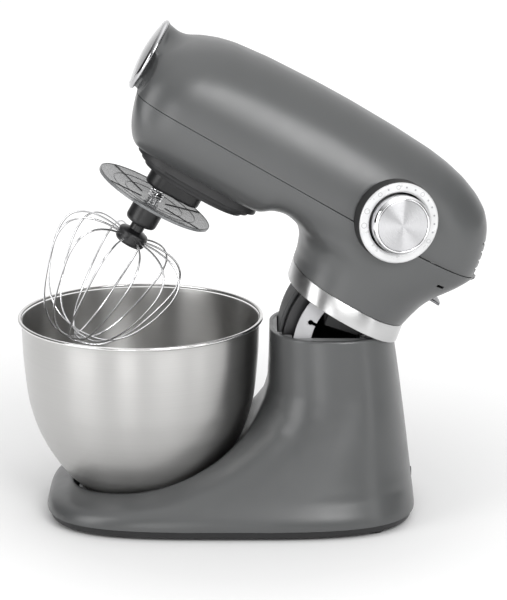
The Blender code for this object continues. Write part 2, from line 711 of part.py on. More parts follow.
def belt(head):
    """Flat toothed belt between the motor pulley and the layshaft pulley."""
    x0, x1 = MOTOR_X, lay_x()
    r0, r1 = MOTOR_PULLEY_R + GAP, LAY_PULLEY_R + GAP
    lean = math.asin((r1 - r0) / (x0 - x1))

    def loop(extra):
        pts = []
        for a in np.linspace(-(math.pi / 2 - lean), math.pi / 2 - lean, 12):
            pts.append((x0 + (r0 + extra) * math.cos(a), (r0 + extra) * math.sin(a)))
        for a in np.linspace(math.pi / 2 - lean, 1.5 * math.pi + lean, 26):
            pts.append((x1 + (r1 + extra) * math.cos(a), (r1 + extra) * math.sin(a)))
        return np.array(pts)

    rings = []
    for extra, z in ((0.0, 285.6), (1.8, 285.6), (1.8, 290.8), (0.0, 290.8)):
        flat = loop(extra)
        rings.append(np.column_stack([flat, np.full(len(flat), z)]))
    make("drive_belt", *loft(rings, closed=True), BELT, head)


def layshaft(shaft):
    x = lay_x()
    pts = [(5.3, 284.0), (34.5, 284.0), (34.5, 285.2), (LAY_PULLEY_R, 285.2),
           (LAY_PULLEY_R, 291.2), (34.5, 291.2), (34.5, 292.4), (5.3, 292.4)]
    make("lay_pulley", *revolve(pts, 24, (x, 0, 0)), NYLON, shaft)
    flat = gear_outline(FINAL_PINION_TEETH, FINAL_MODULE)
    pinion = make("lay_pinion", *move_pair(prism(flat, 238.0, 250.0), (x, 0, 0)), GEAR_STEEL, shaft)
    spindle = make("lay_spindle", *cylinder(5.0, 234.0, 300.0, 20, (x, 0, 0)), None, shaft)
    boolean(pinion, spindle, "UNION")


def move_pair(shape, at):
    return move(shape[0], at), shape[1]


def gearbox(head):
    """Bearing plate over the gears, with three posts down to the ring gear."""
    flat = [(-160.0, -30.0), (-128.0, -46.0), (-30.0, -46.0), (-16.0, -30.0), (-16.0, 30.0),
            (-30.0, 46.0), (-128.0, 46.0), (-160.0, 30.0)]
    plate = make("gearbox_plate", *prism(flat, 256.0, 262.0), CAST, head)
    for name, x, r in (("plate_bore_a", BOWL_X, 8.3), ("plate_bore_b", lay_x(), 5.4)):
        boolean(plate, make(name, *cylinder(r, 250.0, 270.0, 24, (x, 0, 0)), None, head))
    outer = [(39.5 * math.cos(a), 39.5 * math.sin(a))
             for a in np.linspace(0, 2 * math.pi, 40, endpoint=False)]
    ring_body = make("ring_gear", *move_pair(prism(outer, 226.0, 232.6), (BOWL_X, 0, 0)), NYLON,
                     head)
    teeth = gear_outline(RING_TEETH, GEAR_MODULE, True, phase=math.pi)
    cut = make("ring_teeth", *move_pair(prism(teeth, 216.0, 236.0), (BOWL_X, 0, 0)), None, head)
    boolean(ring_body, cut)


def trim_ring(head):
    """Stepped skirt round the rotating carrier."""
    steps = ((219.4, 62.0, 40.0), (214.6, 62.0, 40.0), (214.6, 57.0, 38.0), (210.8, 56.4, 37.6),
             (210.8, 51.6, 36.2), (207.0, 50.8, 35.8))
    rings = []
    for z, reach, half in steps:
        flat = oval(BOWL_X - reach, BOWL_X + reach, half, 2.4, 36)
        rings.append(np.column_stack([flat, np.full(36, z)]))
    skirt = make("trim_ring", *loft(rings), BLACK_MATT, head)
    hole = cylinder(TRIM_HOLE, 200.0, 230.0, 32, (BOWL_X, 0, 0))
    boolean(skirt, make("trim_hole", *hole, None, head))
    over = make("trim_clear", *loft(hull_rings(-0.3, 0.0)), None, head)
    boolean(skirt, over)


def carrier(arm):
    """Rotating block that carries the beater shaft round the bowl."""
    block = make("planet_carrier", *cylinder(TRIM_HOLE - 0.4, 206.0, 224.6, 36, (BOWL_X, 0, 0)),
                 BLACK, arm)
    pts = []
    for k in range(13):
        a = math.pi / 2 + math.pi * k / 12
        pts.append((BOWL_X - BEATER_ORBIT + 15.6 * math.cos(a), 15.6 * math.sin(a)))
    for k in range(9):
        a = -math.pi / 2 + math.pi * k / 8
        pts.append((BOWL_X + 1.0 + 13.0 * math.cos(a), 13.4 * math.sin(a)))
    boolean(block, make("carrier_boss", *prism(pts, 191.2, 206.7), None, arm), "UNION")
    spindle = make("carrier_spindle", *cylinder(8.0, 215.0, 270.0, 24, (BOWL_X, 0, 0)), None, arm)
    boolean(block, spindle, "UNION")
    at = (BOWL_X - BEATER_ORBIT, 0, 0)
    boolean(block, make("carrier_bore", *cylinder(5.3, 180, 240, 20, at), None, arm))
    flat = gear_outline(FINAL_GEAR_TEETH, FINAL_MODULE, phase=math.pi / FINAL_GEAR_TEETH)
    gear = make("spindle_gear", *move_pair(prism(flat, 240.0, 248.0), (BOWL_X, 0, 0)), NYLON, arm)
    boolean(gear, make("gear_bore", *cylinder(8.3, 230.0, 260.0, 24, (BOWL_X, 0, 0)), None, arm))


# ---------------------------------------------------------------- whisk
def beater(shaft):
    x = BOWL_X - BEATER_ORBIT
    at = (x, 0, 0)
    flat = gear_outline(PLANET_TEETH, GEAR_MODULE, phase=math.pi)
    gear = make("planet_gear", *move_pair(prism(flat, 226.0, 232.0), at), GEAR_STEEL, shaft)
    boolean(gear, make("planet_bore", *cylinder(5.3, 215.0, 238.0, 20, at), None, shaft))
    make("beater_shaft", *cylinder(5.0, 154.6, 233.6, 24, at), CHROME, shaft)
    path = []
    for k in range(4 * 9 + 1):
        a = 2 * math.pi * k / 9
        path.append((x + 6.4 * math.cos(a), 6.4 * math.sin(a), 180.2 + 9.6 * k / 36))
    make("shaft_spring", *tube(path, 0.8, 4), CHROME, shaft)
    pts = [(5.4, DISC_Z - 0.8), (DISC_R - 1.4, DISC_Z - 0.8), (DISC_R - 1.4, DISC_Z - 1.8),
           (DISC_R, DISC_Z - 1.8), (DISC_R, DISC_Z + 0.8), (5.4, DISC_Z + 0.8)]
    make("splash_disc", *revolve(pts, 36, at), DISC_CLEAR, shaft)
    pts = [(5.3, 154.0), (11.0, 152.2), (14.2, 153.4), (15.2, 156.0), (15.2, 170.0),
           (12.8, 172.4), (9.0, 173.2), (9.0, DISC_Z - 1.1), (5.3, DISC_Z - 1.1)]
    make("whisk_socket", *revolve(pts, 20, at), BLACK, shaft)


def whisk_crown(shaft):
    at = (BOWL_X - BEATER_ORBIT, 0, 0)
    pts = [(0, 154.2), (4.8, 154.2), (4.8, 152.0), (6.6, 151.6), (6.6, 145.2), (13.4, 143.6),
           (14.6, 142.0), (14.6, 133.0), (12.6, 130.8), (0, 130.8)]
    crown = make("whisk_crown", *revolve(pts, 24, at), BLACK, shaft)
    for k in range(WIRE_LOOPS):
        for end in (0, 1):
            a = loop_angle(k) + math.pi * end
            hole = tube([(at[0] + 8.0 * math.cos(a), 8.0 * math.sin(a), 137.5),
                         (at[0] + 18.0 * math.cos(a), 18.0 * math.sin(a), 137.5)],
                        WIRE_R + 0.4, 6)
            boolean(crown, make("wire_hole_%d_%d" % (k, end), *hole, None, shaft))


def loop_angle(k):
    return math.pi * (k + 0.5) / WIRE_LOOPS


def whisk_wires(shaft):
    x = BOWL_X - BEATER_ORBIT
    half = smooth_line(WHISK_LINE, 12)
    for k in range(WIRE_LOOPS):
        a = loop_angle(k)
        # each loop passes under the one before where they cross at the tip
        lift = 2.2 * k
        path = []
        for side in (1, -1):
            rows = half if side == 1 else half[:-1][::-1]
            for r, z in rows:
                fade = max(0.0, 1 - (z - 21.6) / 60.0)
                path.append((x + side * r * math.cos(a), side * r * math.sin(a), z + lift * fade))
        make("whisk_wire_%d" % (k + 1), *tube(path, WIRE_R, 5), WIRE, shaft)


# ---------------------------------------------------------------- knob
def knob_frame(parent):
    """Empty whose z axis is the knob's axis, outward from the head's side."""
    obj = empty("knob_frame", KNOB_AT, parent)
    obj.rotation_mode = "QUATERNION"
    obj.rotation_quaternion = Vector(KNOB_AXIS).to_track_quat("Z", "X")
    return obj


def knob_cutter(name, r, head):
    frame = bpy.data.objects["knob_frame"]
    return make(name, *cylinder(r, -30.0, 25.0, 32), None, frame)


def knob_parts(frame):
    pts = [(28.3, -9.0), (30.0, -17.0), (BEZEL_R, -17.0), (BEZEL_R, -1.2), (BEZEL_R - 1.2, 0.0),
           (30.2, 0.0), (28.3, -1.6)]
    make("knob_bezel", *revolve(pts, 40), SILVER, frame)
    pts = [(4.3, -6.0), (26.6, -6.0), (KNOB_R, -5.0), (KNOB_R, 7.6), (25.4, 9.6), (22.6, 10.2),
           (22.6, 8.4), (4.3, 8.4)]
    make("knob_skirt", *revolve(pts, 36), CHROME, frame)
    pts = [(0, 8.8), (4.0, 8.8), (22.2, 8.8), (22.2, 10.0), (21.6, 10.5), (0, 10.7)]
    make("knob_face", *revolve(pts, 36), SPUN, frame)
    make("knob_shaft", *cylinder(4.0, -28.0, 8.5, 20), GEAR_STEEL, frame)
    switch = make("speed_switch", *box((-11.0, -11.0, -46.0), (11.0, 11.0, -20.0)), BLACK_MATT,
                  frame)
    boolean(switch, make("switch_bore", *cylinder(4.4, -29.0, -10.0, 20), None, frame))


# ---------------------------------------------------------------- lever, latch, cap
def lever_parts(head):
    """Release lever behind the neck and the latch it pulls."""
    pts = [(118.0, 228.6), (127.0, 228.6), (138.0, 229.0), (146.0, 228.4), (152.0, 226.6),
           (152.6, 225.4), (146.0, 225.6), (138.0, 225.4), (127.0, 224.6), (118.0, 224.6)]
    lever = make("release_lever", *prism(pts, -14.0, 14.0, "y"), CHROME, head)
    bore = cylinder(1.9, -30.0, 30.0, 16, (122.5, 0, 226.6), "y")
    boolean(lever, make("lever_bore", *bore, None, head))
    make("lever_pin", *cylinder(1.6, -22.0, 22.0, 16, (122.5, 0, 226.6), "y"), GEAR_STEEL, head)
    hook = [(44.0, 190.5), (48.5, 190.5), (48.5, 176.0), (50.4, 172.0), (46.0, 170.0),
            (44.0, 172.0)]
    make("latch_hook", *prism(hook, -10.0, 10.0, "y"), GEAR_STEEL, head)


def front_cap(parent):
    pts = [(31.0, -199.4), (34.2, -199.4), (CAP_R, -200.6), (CAP_R - 0.4, -202.4), (33.0, -204.4),
           (31.0, -205.0)]
    make("front_cap_rim", *revolve(pts, 36, (0, 0, CAP_Z), "x"), CHROME, parent)
    pts = [(0, -208.4), (14.0, -207.9), (24.0, -206.4), (30.7, -204.6), (30.7, -199.4),
           (23.6, -199.4), (23.6, -190.0), (22.0, -190.0), (22.0, -200.6), (0, -200.6)]
    make("front_cap_face", *revolve(pts, 32, (0, 0, CAP_Z), "x"), CHROME, parent)


def front_hub(head, drive):
    pts = [(20.0, -188.6), (23.8, -188.6), (23.8, -172.0), (20.0, -172.0)]
    make("front_hub", *revolve(pts, 20, (0, 0, CAP_Z), "x"), CAST, head)
    socket = make("hub_socket", *cylinder(15.0, -187.0, -166.0, 28, (0, 0, CAP_Z), "x"),
                  GEAR_STEEL, drive)
    hole = box((-195.0, -5.0, CAP_Z - 5.0), (-172.0, 5.0, CAP_Z + 5.0))
    boolean(socket, make("socket_square", *hole, None, drive))


def head_group():
    head = empty("head_hinge", (HINGE_X, 0, HINGE_Z))
    head.rotation_euler = (0.0, math.radians(HEAD_TILT), 0.0)
    inner = empty("head_frame_origin", (-HINGE_X, 0, -HINGE_Z), head)
    return inner


def build():
    bpy.context.scene.collection.children.link(PARTS)
    bpy.context.scene.collection.children.link(CUTTERS)
    base_shell()
    base_sole()
    feet()
    bowl_seat()
    column_cap()
    hinge_bracket()
    hinge_pin()
    tilt_spring()
    cord_gland()
    bowl()
    bowl_foot()
    head = head_group()
    frame = knob_frame(head)
    head_upper_shell(head)
    head_lower_shell(head)
    collar_band(head)
    tilt_arms(head)
    head_frame(head)
    motor(head, head)
    belt(head)
    layshaft(head)
    gearbox(head)
    trim_ring(head)
    carrier(head)
    beater(head)
    whisk_crown(head)
    whisk_wires(head)
    knob_parts(frame)
    lever_parts(head)
    front_cap(head)
    front_hub(head, head)


for thing in list(bpy.data.objects):
    bpy.data.objects.remove(thing, do_unlink=True)
build()
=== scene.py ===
"""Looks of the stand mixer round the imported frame, in millimetres, head parts drawn lowered."""

import math

import bpy
import numpy as np
from mathutils import Matrix, Vector


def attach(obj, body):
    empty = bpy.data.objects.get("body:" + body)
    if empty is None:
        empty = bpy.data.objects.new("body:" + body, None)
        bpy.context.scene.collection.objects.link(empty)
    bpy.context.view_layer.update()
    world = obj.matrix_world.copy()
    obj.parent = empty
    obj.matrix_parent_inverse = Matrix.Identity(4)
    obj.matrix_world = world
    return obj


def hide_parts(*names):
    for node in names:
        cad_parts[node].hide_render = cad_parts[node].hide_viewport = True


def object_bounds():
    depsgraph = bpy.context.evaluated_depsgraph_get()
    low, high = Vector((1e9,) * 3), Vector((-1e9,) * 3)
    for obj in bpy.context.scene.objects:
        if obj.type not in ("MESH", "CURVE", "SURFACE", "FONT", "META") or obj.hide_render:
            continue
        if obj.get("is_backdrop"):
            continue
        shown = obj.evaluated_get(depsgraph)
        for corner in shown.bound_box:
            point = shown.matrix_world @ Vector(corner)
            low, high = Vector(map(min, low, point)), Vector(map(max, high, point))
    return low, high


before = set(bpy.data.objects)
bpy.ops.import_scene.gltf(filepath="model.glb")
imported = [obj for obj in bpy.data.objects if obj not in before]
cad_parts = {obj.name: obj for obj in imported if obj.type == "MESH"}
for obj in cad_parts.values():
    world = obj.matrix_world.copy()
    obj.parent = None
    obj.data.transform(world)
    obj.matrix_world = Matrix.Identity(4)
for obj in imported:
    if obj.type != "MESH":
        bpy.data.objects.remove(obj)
CAD_BOX = [list(corner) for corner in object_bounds()]

MM = 0.001
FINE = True

# ---------------------------------------------------------------- dimensions, millimetres
WALL = 4.2
BOWL_X = -105.2
BEATER_X = BOWL_X - 26.0
HINGE = (110.0, 165.0)
HEAD_TILT = math.radians(30.0)
SEAM_Z = 266.0
HEAD_FRONT = -196.5
HEAD_REAR = 162.0
HEAD_MID = -10.0
HEAD_HALF = 66.0
NOSE_FLAT = 37.0
NOSE_CORNER = 46.0
CAP_Z = 295.4
KNOB_AT = (66.2, -72.5, 286.3)
KNOB_AXIS = (0.2270, -0.9655, 0.1270)
BEZEL_R = 37.4
MARK_R = 33.4
MARK_SIZES = {"dot": 0.9, "ring": 2.0, "wide": 2.6}
ARM_LOW, ARM_HIGH = -27.0, 20.2
DISC_Z = 177.4
DISC_R = 58.0
DISC_RISE = 4.0
DISC_HUB_R = 15.0
DISC_RIBS = (35.0, 142.0, 218.0, 325.0)
WIRE_R = 0.95
WIRE_LOOPS = 6

BASE_STATIONS = (
    (10.0, -194.5, 153.6, 113.0, 3.4), (16.0, -193.4, 153.0, 112.6, 3.35),
    (21.0, -190.0, 152.4, 111.0, 3.3), (25.0, -182.5, 151.9, 109.0, 3.25),
    (29.0, -166.0, 151.3, 107.0, 3.2), (34.0, -140.0, 150.7, 104.6, 3.0),
    (41.0, -110.0, 149.9, 101.6, 2.9), (50.0, -82.0, 148.8, 98.0, 2.75),
    (62.0, -52.0, 147.3, 93.4, 2.62), (76.0, -26.0, 145.6, 88.4, 2.52),
    (92.0, -4.0, 143.5, 82.9, 2.45), (108.0, 8.8, 141.3, 78.0, 2.4),
    (124.0, 13.8, 139.2, 73.9, 2.36), (150.0, 14.4, 135.4, 69.1, 2.34),
    (178.0, 14.4, 131.2, 65.2, 2.34),
)
NECK_STATIONS = (
    (195.4, 9.9, 128.8, 63.4, 2.34), (205.0, 7.9, 130.8, 63.8, 2.34),
    (216.8, 3.4, 134.0, 64.2, 2.34), (224.0, -1.6, 137.0, 64.5, 2.36),
    (229.5, -8.0, 140.0, 64.8, 2.4), (233.4, -18.0, 142.4, 65.0, 2.45),
    (240.0, -36.0, 146.8, 65.3, 2.5), (250.0, -58.0, 152.8, 65.6, 2.5),
    (261.0, -84.0, 157.6, 65.8, 2.5),
)
TOP_LINE = (
    (-196.5, 319.0), (-190.0, 320.0), (-184.0, 323.4), (-178.0, 328.2), (-168.0, 333.8),
    (-153.0, 339.6), (-138.0, 343.2), (-105.0, 346.8), (-54.0, 349.4), (-19.0, 350.0),
    (30.0, 349.2), (68.0, 347.2), (88.0, 344.6), (108.0, 340.0), (126.0, 333.0),
    (140.0, 324.6), (150.0, 313.0), (156.6, 299.5), (160.4, 285.0), (162.0, 273.0),
)
HULL_LINE = (
    (-196.5, 265.9), (-192.8, 253.5), (-187.9, 238.6), (-179.0, 224.4), (-171.7, 219.6),
    (-160.0, 218.4), (-60.0, 219.2), (-44.0, 221.8), (-36.0, 229.6), (-25.0, 233.2),
    (0.0, 233.6), (110.0, 234.0), (140.0, 238.0), (150.0, 248.0), (158.6, 260.0),
    (162.0, 265.9),
)
BOWL_PROFILE = (
    (46.0, 17.6), (51.0, 19.0), (57.0, 22.4), (63.0, 27.2), (68.5, 32.6), (74.5, 39.4),
    (80.5, 47.4), (91.0, 64.5), (99.4, 83.0), (104.0, 98.0), (107.4, 115.0),
    (110.6, 148.0), (111.7, 176.0), (112.2, 183.0),
)
WHISK_LINE = (
    (10.5, 137.5), (30.0, 138.4), (48.0, 135.0), (60.0, 126.0), (64.0, 113.0),
    (62.4, 97.0), (55.0, 72.0), (46.0, 51.0), (34.0, 35.0), (20.0, 26.0), (0.0, 22.0),
)

DIAL_MARKS = ((119, "wide"), (96, "wide"), (63, "ring"), (48, "dot"), (31.5, "ring"), (18, "dot"),
              (3, "dot"), (-11, "ring"), (-25, "dot"), (-38, "dot"), (-52, "dot"), (-65.5, "dot"),
              (-79, "dot"), (-94, "ring"))


# ---------------------------------------------------------------- placing
def raised(points):
    """Points of the lowered head, turned up to where the head rests."""
    p = np.asarray(points, float)
    dx, dz = p[..., 0] - HINGE[0], p[..., 2] - HINGE[1]
    c, s = math.cos(HEAD_TILT), math.sin(HEAD_TILT)
    out = p.copy()
    out[..., 0] = HINGE[0] + c * dx + s * dz
    out[..., 2] = HINGE[1] - s * dx + c * dz
    return out


HEAD_TURN = Matrix.Rotation(HEAD_TILT, 4, "Y")


def head_matrix(at=(0.0, 0.0, 0.0)):
    """Object matrix of a part drawn round a point of the lowered head."""
    place = Vector(raised(np.array(at, float)) * MM)
    return Matrix.Translation(place) @ HEAD_TURN


def knob_matrix():
    turn = Vector(KNOB_AXIS).to_track_quat("Z", "X").to_matrix().to_4x4()
    return head_matrix(KNOB_AT) @ turn


# ---------------------------------------------------------------- meshes
def mesh_object(name, verts, faces, mat, sharp=32.0, matrix=None):
    """A piece from vertices in millimetres and faces, shaded smooth between sharp edges."""
    faces = list(faces)
    mesh = bpy.data.meshes.new(name)
    verts = np.asarray(verts, float) * MM
    mesh.vertices.add(len(verts))
    mesh.vertices.foreach_set("co", verts.ravel())
    sizes = np.array([len(f) for f in faces])
    mesh.loops.add(int(sizes.sum()))
    mesh.loops.foreach_set("vertex_index", np.concatenate([np.asarray(f) for f in faces]))
    mesh.polygons.add(len(faces))
    mesh.polygons.foreach_set("loop_start", np.concatenate([[0], np.cumsum(sizes)[:-1]]))
    mesh.update(calc_edges=True)
    mesh.validate()
    mesh.shade_smooth()
    mesh.set_sharp_from_angle(angle=math.radians(sharp))
    mesh.materials.append(mat)
    obj = bpy.data.objects.new(name, mesh)
    bpy.context.scene.collection.objects.link(obj)
    if matrix is not None:
        obj.matrix_world = matrix
    return obj


def volume_sign(verts, faces):
    total = 0.0
    for face in faces:
        a = verts[face[0]]
        for i in range(1, len(face) - 1):
            total += np.dot(a, np.cross(verts[face[i]], verts[face[i + 1]]))
    return total


def outward(verts, faces):
    if volume_sign(verts, faces) < 0:
        return [tuple(reversed(f)) for f in faces]
    return faces


def loft(rings, closed=False):
    """Skins equal rings; capped at both ends, or closed on itself."""
    n = len(rings[0])
    verts = np.vstack(rings)
    faces = []
    for k in range(len(rings) if closed else len(rings) - 1):
        a, b = k * n, ((k + 1) % len(rings)) * n
        faces += [(a + i, a + (i + 1) % n, b + (i + 1) % n, b + i) for i in range(n)]
    if not closed:
        faces.append(tuple(range(n - 1, -1, -1)))
        faces.append(tuple(range((len(rings) - 1) * n, len(rings) * n)))
    return verts, outward(verts, faces)


def rounded(outline, radius, steps=5):
    """A closed outline with its corners rounded, except on the turning axis."""
    pts = [np.array(p, float) for p in outline]
    out = []
    for i, p in enumerate(pts):
        a, b = pts[i - 1] - p, pts[(i + 1) % len(pts)] - p
        la, lb = np.linalg.norm(a), np.linalg.norm(b)
        straight = abs(np.dot(a, b) / (la * lb) + 1) < 1e-3
        if straight or (abs(p[0]) < 1e-6 and (abs(pts[i - 1][0]) < 1e-6 or
                                                           abs(pts[(i + 1) % len(pts)][0]) < 1e-6)):
            out.append(tuple(p))
            continue
        r = min(radius, 0.45 * la, 0.45 * lb)
        if abs(p[0]) < 1e-6:
            out.append(tuple(p))
            continue
        for t in np.linspace(0, 1, steps):
            q = (1 - t) ** 2 * (p + a / la * r) + 2 * t * (1 - t) * p + t**2 * (p + b / lb * r)
            out.append(tuple(q))
    return out


def revolve(profile, segs=96, at=(0.0, 0.0, 0.0), axis="z"):
    """Turns a closed (radius, height) outline about an axis through a point."""
    verts, rows = [], []
    for r, h in profile:
        if r < 1e-6:
            rows.append([len(verts)] * segs)
            verts.append((0.0, 0.0, h))
            continue
        rows.append(list(range(len(verts), len(verts) + segs)))
        a = 2 * np.pi * np.arange(segs) / segs
        verts += list(zip(r * np.cos(a), r * np.sin(a), np.full(segs, h)))
    faces = []
    for k, row in enumerate(rows):
        nxt = rows[(k + 1) % len(rows)]
        if row[0] == row[1] and nxt[0] == nxt[1]:
            continue
        for i in range(segs):
            j = (i + 1) % segs
            face = []
            for v in (row[i], row[j], nxt[j], nxt[i]):
                if v not in face:
                    face.append(v)
            faces.append(tuple(face))
    verts = np.array(verts)
    if axis == "x":
        verts = verts[:, [2, 0, 1]]
    return verts + np.array(at), outward(verts, faces)


def prism(outline, lo, hi, edge):
    """An (x, z) outline extruded along y, with its rims chamfered."""
    flat = np.array(outline, float)
    shift = np.roll(flat, -1, 0) - np.roll(flat, 1, 0)
    normal = np.column_stack([shift[:, 1], -shift[:, 0]])
    normal /= np.maximum(np.linalg.norm(normal, axis=1), 1e-9)[:, None]
    area = np.sum(flat[:, 0] * np.roll(flat[:, 1], -1) - np.roll(flat[:, 0], -1) * flat[:, 1])
    inner = flat - normal * edge * (1 if area > 0 else -1)
    rings = []
    for pts, h in ((inner, lo), (flat, lo + edge), (flat, hi - edge), (inner, hi)):
        rings.append(np.column_stack([pts, np.full(len(pts), h)]))
    verts, faces = loft(rings)
    verts = verts[:, [0, 2, 1]]
    return verts, outward(verts, faces)


def tube(path, r, sides=12):
    """Round wire along a path."""
    path = np.asarray(path, float)
    tangents = np.gradient(path, axis=0)
    tangents /= np.linalg.norm(tangents, axis=1)[:, None]
    side = np.cross(tangents[0], (0.0, 0.0, 1.0))
    if np.linalg.norm(side) < 0.1:
        side = np.cross(tangents[0], (1.0, 0.0, 0.0))
    a = 2 * np.pi * np.arange(sides) / sides
    rings = []
    for k, p in enumerate(path):
        side = side - np.dot(side, tangents[k]) * tangents[k]
        side /= np.linalg.norm(side)
        up = np.cross(tangents[k], side)
        rings.append(p + r * (np.outer(np.cos(a), side) + np.outer(np.sin(a), up)))
    return loft(rings)


def merged(shapes):
    """Several pairs of vertices and faces as one."""
    verts, faces = [], []
    for more_verts, more_faces in shapes:
        faces += [tuple(i + len(verts) for i in face) for face in more_faces]
        verts += list(map(tuple, more_verts))
    return np.array(verts), faces


def smooth_line(points, count):
    """Catmull-Rom curve through points."""
    p = np.array(points, float)
    p = np.vstack([2 * p[0] - p[1], p, 2 * p[-1] - p[-2]])
    last = len(points) - 1
    s = np.linspace(0, last, count)
    k = np.minimum(s.astype(int), last - 1)
    t = (s - k)[:, None]
    a, b, c, d = p[k], p[k + 1], p[k + 2], p[k + 3]
    return 0.5 * (2 * b + (c - a) * t + (2 * a - 5 * b + 4 * c - d) * t**2
                  + (3 * b - a - 3 * c + d) * t**3)


def power(value, exponent):
    return np.sign(value) * np.abs(value) ** exponent


def oval(front, rear, half, n, count=160):
    """Superellipse outline in plan from a front x to a rear x."""
    a = 2 * np.pi * (np.arange(count) + 0.5) / count
    x = (front + rear) / 2 + (rear - front) / 2 * power(np.cos(a), 2 / n)
    return np.column_stack([x, half * power(np.sin(a), 2 / n)])


# ---------------------------------------------------------------- solid fields
def curve(points, sigma, step=0.25):
    """A line through points, softened, as a function with its slope."""
    p = np.array(points, float)
    lo, hi = p[0, 0] - 6 * sigma, p[-1, 0] + 6 * sigma
    xs = np.arange(lo, hi, step)
    ys = np.interp(xs, p[:, 0], p[:, 1])
    first = (p[1, 1] - p[0, 1]) / (p[1, 0] - p[0, 0])
    last = (p[-1, 1] - p[-2, 1]) / (p[-1, 0] - p[-2, 0])
    ys = np.where(xs < p[0, 0], p[0, 1] + first * (xs - p[0, 0]), ys)
    ys = np.where(xs > p[-1, 0], p[-1, 1] + last * (xs - p[-1, 0]), ys)
    span = int(3 * sigma / step)
    kernel = np.exp(-0.5 * (np.arange(-span, span + 1) * step / sigma) ** 2)
    soft = np.convolve(np.pad(ys, span, mode="edge"), kernel / kernel.sum(), "valid")
    slope = np.gradient(soft, step)
    return lambda q: (np.interp(q, xs, soft), np.interp(q, xs, slope))


def smin(a, b, k):
    """Union with a fillet of size k."""
    h = np.maximum(k - np.abs(a - b), 0.0) / k
    return np.minimum(a, b) - h * h * k * 0.25


def smax(a, b, k):
    """Intersection with a rounding of size k."""
    return -smin(-a, -b, k)


def superellipse(u, v, n, u_slope, v_slope, half_u, half_v):
    """Signed distance, near the surface, of |u/half_u|^n + |v/half_v|^n = 1.

    The slopes are how fast the two half sizes change along the third direction."""
    au, av = np.abs(u) / half_u, np.abs(v) / half_v
    total = au**n + av**n + 1e-12
    g = total ** (1.0 / n)
    scale = total ** (1.0 / n - 1.0)
    du = scale * au ** (n - 1) / half_u
    dv = scale * av ** (n - 1) / half_v
    dw = scale * (au**n * u_slope / half_u + av**n * v_slope / half_v)
    return (g - 1.0) / np.maximum(np.sqrt(du * du + dv * dv + dw * dw), 1e-6)


def stack_field(rows, sigma):
    """Field of a stack of superellipse stations."""
    z = [row[0] for row in rows]
    front, rear, half, power_n = (curve(list(zip(z, [row[i] for row in rows])), sigma)
                                  for i in (1, 2, 3, 4))

    def field(x, y, zz, inset=0.0):
        a, a1 = front(zz)
        b, b1 = rear(zz)
        h, h1 = half(zz)
        n, _ = power_n(zz)
        mid, reach = (a + b) / 2, (b - a) / 2 - inset
        return superellipse(x - mid, y, n, (b1 - a1) / 2, h1, reach, h - inset)

    return field


def box_field(x, y, z, lo, hi):
    sides = [np.maximum(a - q, q - b) for q, a, b in zip((x, y, z), lo, hi)]
    return np.maximum(np.maximum(sides[0], sides[1]), sides[2])


